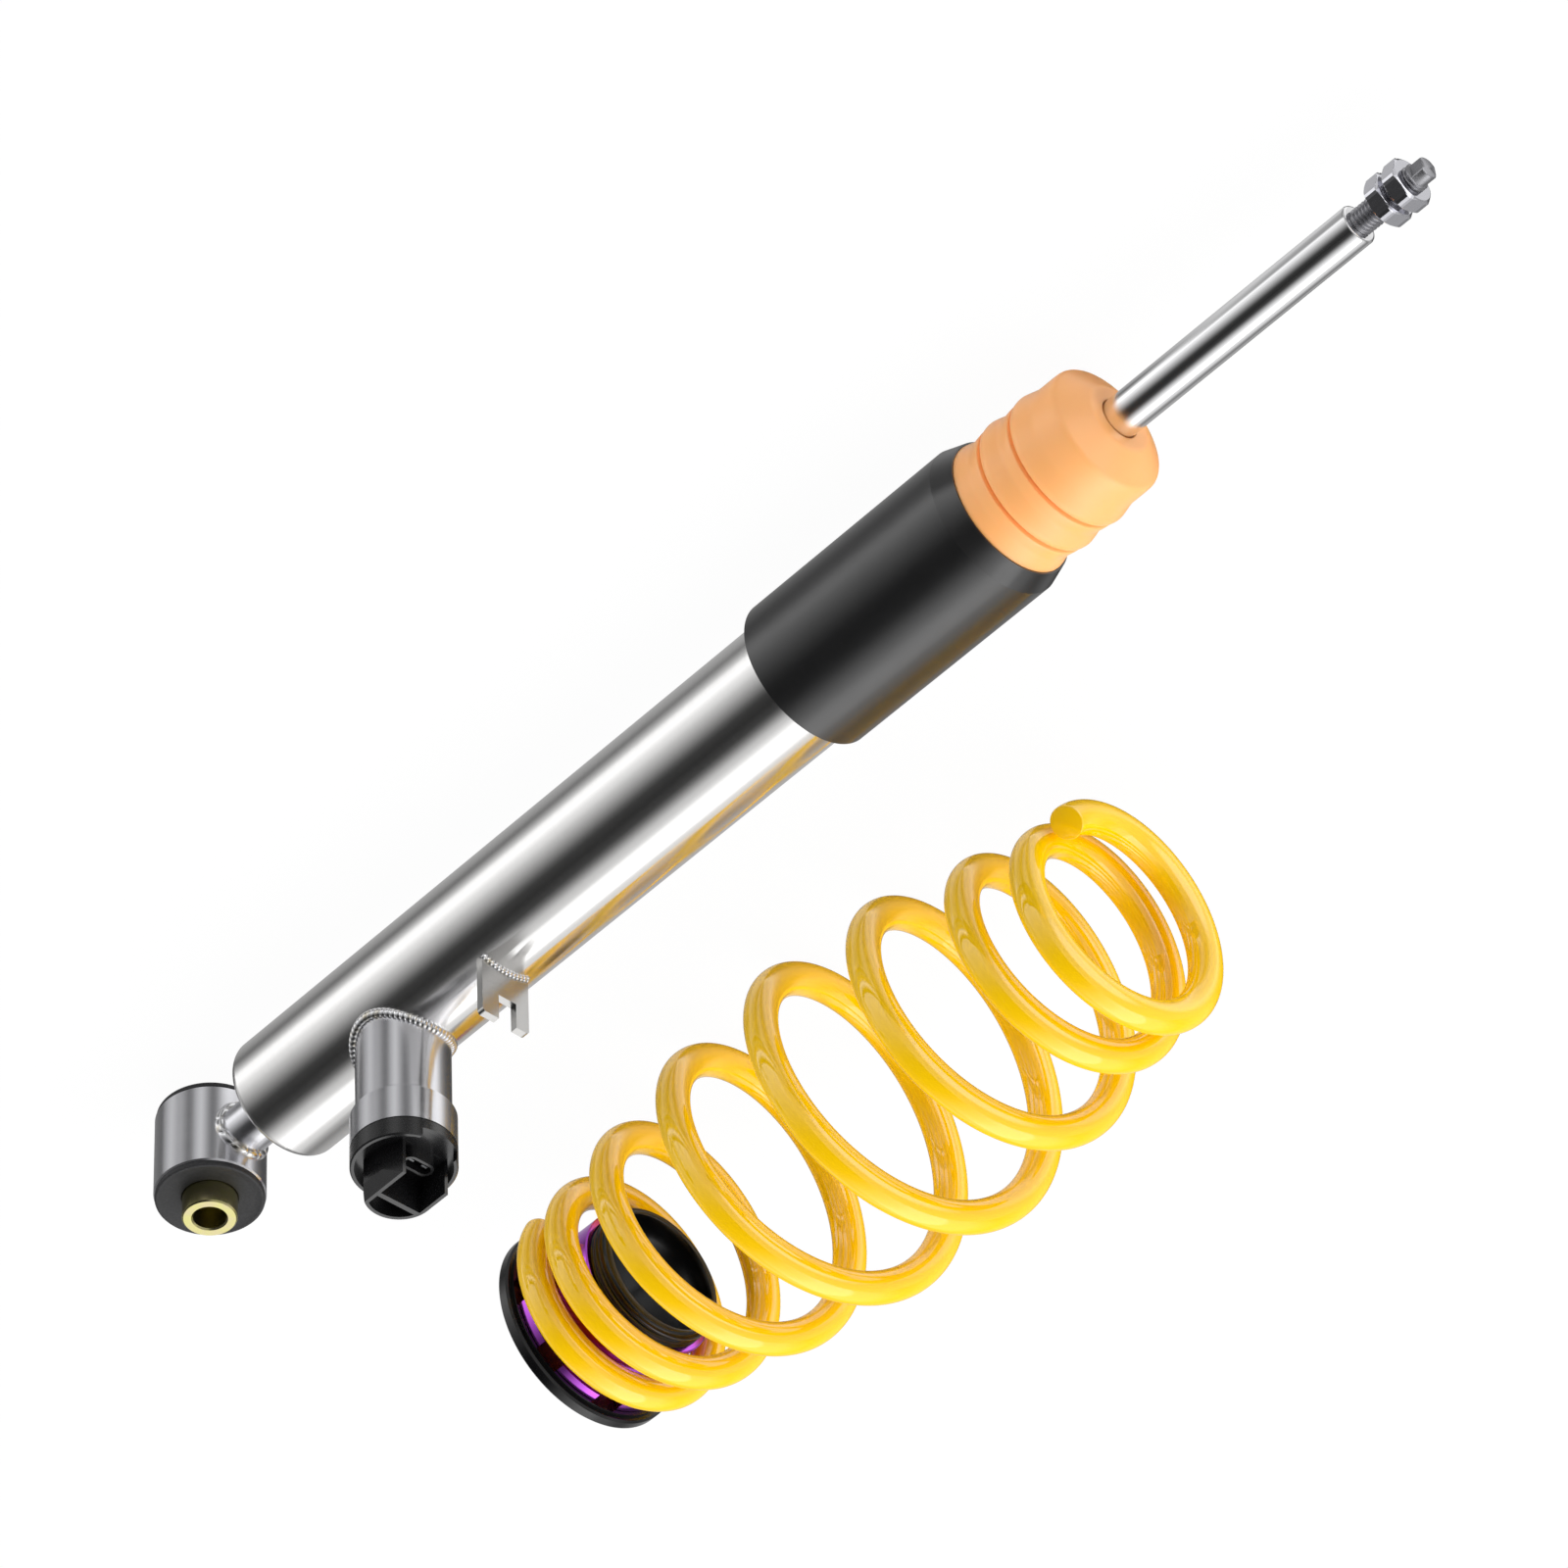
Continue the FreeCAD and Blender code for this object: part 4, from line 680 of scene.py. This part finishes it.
# %% [markdown]
# ## Weld beads
# A weld bead is a row of frozen puddles, each lapped over the last like scales. The bead's middle
# follows the seam, its section is part of a circle in the corner of the two surfaces, shut by a
# chord inside the metal, and the radius swells and dips once per puddle. The dip is bent back at
# the bead's edges, which gives each scale its rounded front.


# %% Bead surface
def bead_points(seam, first, second, reach, puddle, depth, low=-60, high=150):
    """Bead round a seam of points, between two unit directions square to the seam.

    A point is seam + r (cos b first + sin b second), b from low to high degrees. The radius r is
    reach (1 - depth (1 - wave)^1.5), and wave rises from 0 to 1 and back over each puddle's length,
    measured along the seam and set back by 0.45 of a puddle at the bead's edges.
    """
    length = np.concatenate([[0], np.cumsum(np.linalg.norm(np.diff(seam, axis=0), axis=1))])
    count = max(1, round(length[-1] / puddle))
    b = np.radians(np.linspace(low, high, 20))[None, :]
    edge = ((b - np.radians((low + high) / 2)) / np.radians((high - low) / 2)) ** 2
    place = length[:, None] / length[-1] * count + 0.45 * edge
    wave = np.sin(np.pi * np.mod(place, 1)) ** 0.7
    r = reach * (1 - depth * (1 - wave) ** 1.5)
    across = np.cos(b)[..., None] * first[:, None] + np.sin(b)[..., None] * second[:, None]
    return seam[:, None] + r[..., None] * across


TUBE_RADIUS = 25.0

# %% Bead round the neck, on the eye
EYE_RADIUS, NECK_RADIUS = 21.0, 10.0
angle = np.linspace(0, 2 * np.pi, 400)
zero = np.zeros_like(angle)
neck_out = joined(zero, np.cos(angle), np.sin(angle))
neck_y, neck_z = NECK_RADIUS * np.cos(angle), NECK_RADIUS * np.sin(angle)
neck_seam = joined(np.sqrt(EYE_RADIUS ** 2 - neck_y ** 2), neck_y, neck_z)
neck_bead = bead_points(neck_seam, neck_out, joined(zero + 1, 0, 0), 2.3, 5.2, 0.2)
grid_piece("eye_weld_bead", neck_bead, weld_metal, "damper", "eye_weld",
           closed=True, flip=True)

# %% Bead round the valve housing, on the tube
VALVE_X, HOUSING_RADIUS = 112.8, 17.55
angle = np.linspace(0, 2 * np.pi, 700)
zero = np.zeros_like(angle)
saddle_out = joined(np.cos(angle), np.sin(angle), zero)
saddle_x, saddle_y = HOUSING_RADIUS * np.cos(angle), HOUSING_RADIUS * np.sin(angle)
saddle_seam = joined(VALVE_X + saddle_x, saddle_y, np.sqrt(TUBE_RADIUS ** 2 - saddle_y ** 2))
saddle_bead = bead_points(saddle_seam, saddle_out, joined(zero, 0, 1), 2.2, 1.9, 0.2)
grid_piece("valve_weld_bead", saddle_bead, weld_metal, "damper", "valve_weld",
           closed=True, flip=True)

# %% Bead along the bracket's root
BRACKET_X, ROOT_FROM, ROOT_TO = 170.0, -11.0, 10.5
angle = np.linspace(np.arcsin(ROOT_FROM / TUBE_RADIUS), np.arcsin(ROOT_TO / TUBE_RADIUS), 260)
zero = np.zeros_like(angle)
root_up = joined(zero, np.sin(angle), np.cos(angle))
root_seam = joined(zero + BRACKET_X, 0, 0) + TUBE_RADIUS * root_up
root_bead = bead_points(root_seam, joined(zero + 1, 0, 0), root_up, 1.45, 1.7, 0.35)
grid_piece("bracket_weld_bead", root_bead, weld_metal, "damper", "bracket_weld",
           closed=True, ends=True, flip=True)

# %% [markdown]
# ## Studio
# Bright metal has no colour of its own, so the studio is what gives it form. Long soft lights
# stand round the part with dark screens between them. Along a tube this makes a dark band in the
# middle with soft edges, white on both sides, and a thin dark line near each edge. The world
# paints that by direction. For tubes that lie along X it is measured round X from the lens, so
# that each band runs along the whole tube. Tubes that stand along Z mirror what lies low in front
# of them, so steep downward directions carry a second pattern, measured round Z. Straight along X
# the studio is white.


# %% Tables of the studio
BRIGHTEST = 1.6


def ring_of_light(tree, first, second, start, table):
    """Brightness by the angle atan2(first, second) - start, wrapped to -180..180 degrees.

    The levels are divided by the brightest of them, because a colour ramp ends at 1, and the
    world's strength multiplies that back in.
    """
    turned = add(tree, "Math", {0: first, 1: second}, operation="ARCTAN2")
    moved = add(tree, "Math", {0: turned.outputs[0], 1: np.radians(start)}, operation="SUBTRACT")
    wrapped = add(tree, "Math", {0: moved.outputs[0], 1: np.pi, 2: -np.pi}, operation="WRAP")
    share = add(tree, "MapRange", {"Value": wrapped.outputs[0], "From Min": -np.pi,
                                   "From Max": np.pi})
    node = add(tree, "ValToRGB", {"Fac": share.outputs["Result"]})
    while len(node.color_ramp.elements) < len(table):
        node.color_ramp.elements.new(0.5)
    for element, (degrees, level) in zip(node.color_ramp.elements, table):
        element.position = (degrees + 180) / 360
        element.color = (*[level / BRIGHTEST] * 3, 1)
    return node.outputs["Color"]


# degrees from the lens, and how bright the studio is there
ROUND_X = [(-180, 0.5), (-152, 0.38), (-131, 0.28), (-116, 0.11), (-104, 0.39), (-95, 0.75),
           (-90, 1.25), (-75, 1.25), (-67, 0.95), (-57, 0.78), (-50, 0.6), (-42, 0.45), (-35, 0.32),
           (-28, 0.2), (-21, 0.095), (-14, 0.04), (0, 0.024), (14, 0.047), (21, 0.14), (28, 0.34),
           (35, 0.57), (42, 0.79), (50, 1.05), (57, 1.5), (80, 1.6), (83, 0.8), (97, 0.7),
           (104, 0.45), (116, 0.2), (131, 0.35), (152, 0.45), (180, 0.5)]
ROUND_Z = [(-180, 0.1), (-152, 0.06), (-131, 0.07), (-116, 0.14), (-104, 0.32), (-94, 0.8),
           (-84, 1.2), (-75, 0.95), (-67, 0.88), (-57, 0.76), (-50, 0.9), (-42, 0.88), (-35, 0.76),
           (-28, 0.6), (-21, 0.36), (-14, 0.2), (-7, 0.17), (0, 0.3), (7, 0.48), (14, 0.64),
           (21, 0.54), (28, 0.38), (35, 0.16), (42, 0.12), (50, 0.24), (57, 0.36), (67, 0.36),
           (75, 0.5), (84, 0.62), (94, 0.66), (152, 0.64), (180, 0.4)]
VIEW_ROUND_X, VIEW_ROUND_Z = 53.6, 43.6

# %% World by direction
def between(source, start, end, high=1.0):
    """A number that runs from 0 to high while source runs from start to end."""
    ranged = add(tree, "MapRange", {"Value": source, "From Min": start, "From Max": end,
                                    "To Max": high})
    return ranged.outputs["Result"]


def painted(share, under, over):
    """One colour of the studio painted over another by a share."""
    return add(tree, "MixRGB", {"Fac": share, "Color1": under, "Color2": over}).outputs[0]


def seen_directly(tree):
    """The light path, and a number that is 1 for rays from the lens or through glass."""
    path = add(tree, "LightPath")
    seen = add(tree, "Math", {0: path.outputs["Is Camera Ray"],
                              1: path.outputs["Is Transmission Ray"]}, operation="MAXIMUM")
    return path, seen.outputs["Value"]


room = bpy.data.worlds.new("studio")
bpy.context.scene.world = room
room.use_nodes = True
tree = room.node_tree
direction = add(tree, "SeparateXYZ", {"Vector": add(tree, "TexCoord").outputs["Generated"]})
x, y, z = (direction.outputs[axis] for axis in "XYZ")
round_x = ring_of_light(tree, z, y, VIEW_ROUND_X, ROUND_X)
round_z = ring_of_light(tree, y, x, VIEW_ROUND_Z, ROUND_Z)
# the lights round X end square: past one end the room is an even grey, past the other near black
boxes = painted(between(x, 0.5, 0.53), round_x, (0.27, 0.27, 0.27, 1))
boxes = painted(between(x, -0.66, -0.7, 0.6), boxes, (0.05, 0.05, 0.05, 1))
# what lies low in front of the part carries the second pattern, and straight along X is white
low = add(tree, "Math", {0: between(z, -0.3, -0.5), 1: between(x, -0.5, -0.4)},
          operation="MULTIPLY")
studio = painted(low.outputs[0], boxes, round_z)
studio = painted(between(x, 0.86, 0.94), studio, (1, 1, 1, 1))
# bright metal mirrors all of it, dull surfaces take the light of the first pattern alone
AMBIENT = 1.75
path, seen = seen_directly(tree)
plain = add(tree, "Background", {"Color": (1, 1, 1, 1), "Strength": 1.0})
mirror = add(tree, "Background", {"Color": studio, "Strength": BRIGHTEST})
ambient = add(tree, "Background", {"Color": round_x, "Strength": AMBIENT * BRIGHTEST})
lit = add(tree, "MixShader", {"Fac": path.outputs["Is Glossy Ray"], 1: ambient.outputs[0],
                              2: mirror.outputs[0]})
whole = add(tree, "MixShader", {"Fac": seen, 1: lit.outputs[0], 2: plain.outputs[0]})
tree.links.new(whole.outputs[0], tree.nodes["World Output"].inputs["Surface"])
print("studio bands:", len(ROUND_X), "round X,", len(ROUND_Z), "round Z")

# %% [markdown]
# The floor is a white paper sweep. Most of what the camera sees of it is plain white, and the rest
# is the paper's own shade, so a faint soft shadow stays under the part.

# %% Floor
FLOOR_GAP, FLOOR_REACH, PLAIN_WHITE = 0.02, 3000.0, 0.97
floor_height = cad_box[0][2] / MM - FLOOR_GAP
corners = [(-1, -1), (1, -1), (1, 1), (-1, 1)]
floor_mesh = bpy.data.meshes.new("paper_floor")
floor_mesh.from_pydata([(x * FLOOR_REACH * MM, y * FLOOR_REACH * MM, floor_height * MM)
                        for x, y in corners], [], [(0, 1, 2, 3)])
floor = bpy.data.objects.new("paper_floor", floor_mesh)
bpy.context.scene.collection.objects.link(floor)
paper, tree, shader = start_material("white_paper", "#F4F4F4", Roughness=0.9)
shader.inputs["Specular IOR Level"].default_value = 0.0
relief(tree, shader, grain(tree, 1.0), 0.01, 0.2)
path, seen = seen_directly(tree)
share = add(tree, "Math", {0: seen, 1: PLAIN_WHITE}, operation="MULTIPLY")
white = add(tree, "Emission", {"Color": (1, 1, 1, 1), "Strength": 1.0})
mixed = add(tree, "MixShader", {"Fac": share.outputs["Value"], 1: shader.outputs[0],
                                2: white.outputs[0]})
tree.links.new(mixed.outputs[0], tree.nodes["Material Output"].inputs["Surface"])
floor_mesh.materials.append(paper)
# bright metal mirrors the studio below the horizon and not the paper
floor.visible_glossy = False
print("floor at z", round(floor_height, 2), "mm")


# %% Soft lights
def soft_light(name, place, target, size, power):
    """A square area light of a size in metres at a place, turned to look at the target."""
    lamp = bpy.data.lights.new(name, "AREA")
    lamp.shape = "SQUARE"
    lamp.size = size
    lamp.energy = power
    item = bpy.data.objects.new(name, lamp)
    item.location = place
    item.rotation_euler = (Vector(target) - Vector(place)).to_track_quat("-Z", "Y").to_euler()
    bpy.context.scene.collection.objects.link(item)
    item.visible_glossy = False


AIM, SOFTBOX_SIZE, SOFTBOX_POWER = (0.3, -0.07, 0.0), 1.4, 19
soft_light("left_softbox", (-0.9, 1.6, 1.5), AIM, SOFTBOX_SIZE, SOFTBOX_POWER)
soft_light("right_softbox", (1.0, -1.8, 1.5), AIM, SOFTBOX_SIZE, SOFTBOX_POWER)
print("two softboxes of", SOFTBOX_POWER, "W")

# %% [markdown]
# ## Camera
# A long lens stands well back and looks down at the part from its front right, rolled so that the
# damper rises to the upper right of the frame.

# %% Camera
TARGET, DISTANCE, FOCAL_LENGTH, SENSOR = (298.8, -20.4, 14.6), 2634.0, 172.125, 36.0
back = np.array([0.5284, 0.5034, 0.6834])
back /= np.linalg.norm(back)
right = np.array([0.6583, -0.7512, 0.0446])
right -= back * (right @ back)
right /= np.linalg.norm(right)
up = np.cross(back, right)
roll = np.radians(0.34)
right, up = right * np.cos(roll) + up * np.sin(roll), up * np.cos(roll) - right * np.sin(roll)
place = (np.array(TARGET) + DISTANCE * back) * MM
lens = bpy.data.cameras.new("camera")
lens.sensor_width = SENSOR
lens.lens = FOCAL_LENGTH
lens.clip_start, lens.clip_end = 0.1, 50
camera = bpy.data.objects.new("camera", lens)
facing = Matrix(np.stack([right, up, back], -1).tolist()).to_4x4()
camera.matrix_world = Matrix.Translation(place.tolist()) @ facing
bpy.context.scene.collection.objects.link(camera)
bpy.context.scene.camera = camera
bpy.context.scene.view_settings.view_transform = "Standard"
print("camera", round(DISTANCE), "mm from the part, lens", FOCAL_LENGTH, "mm")
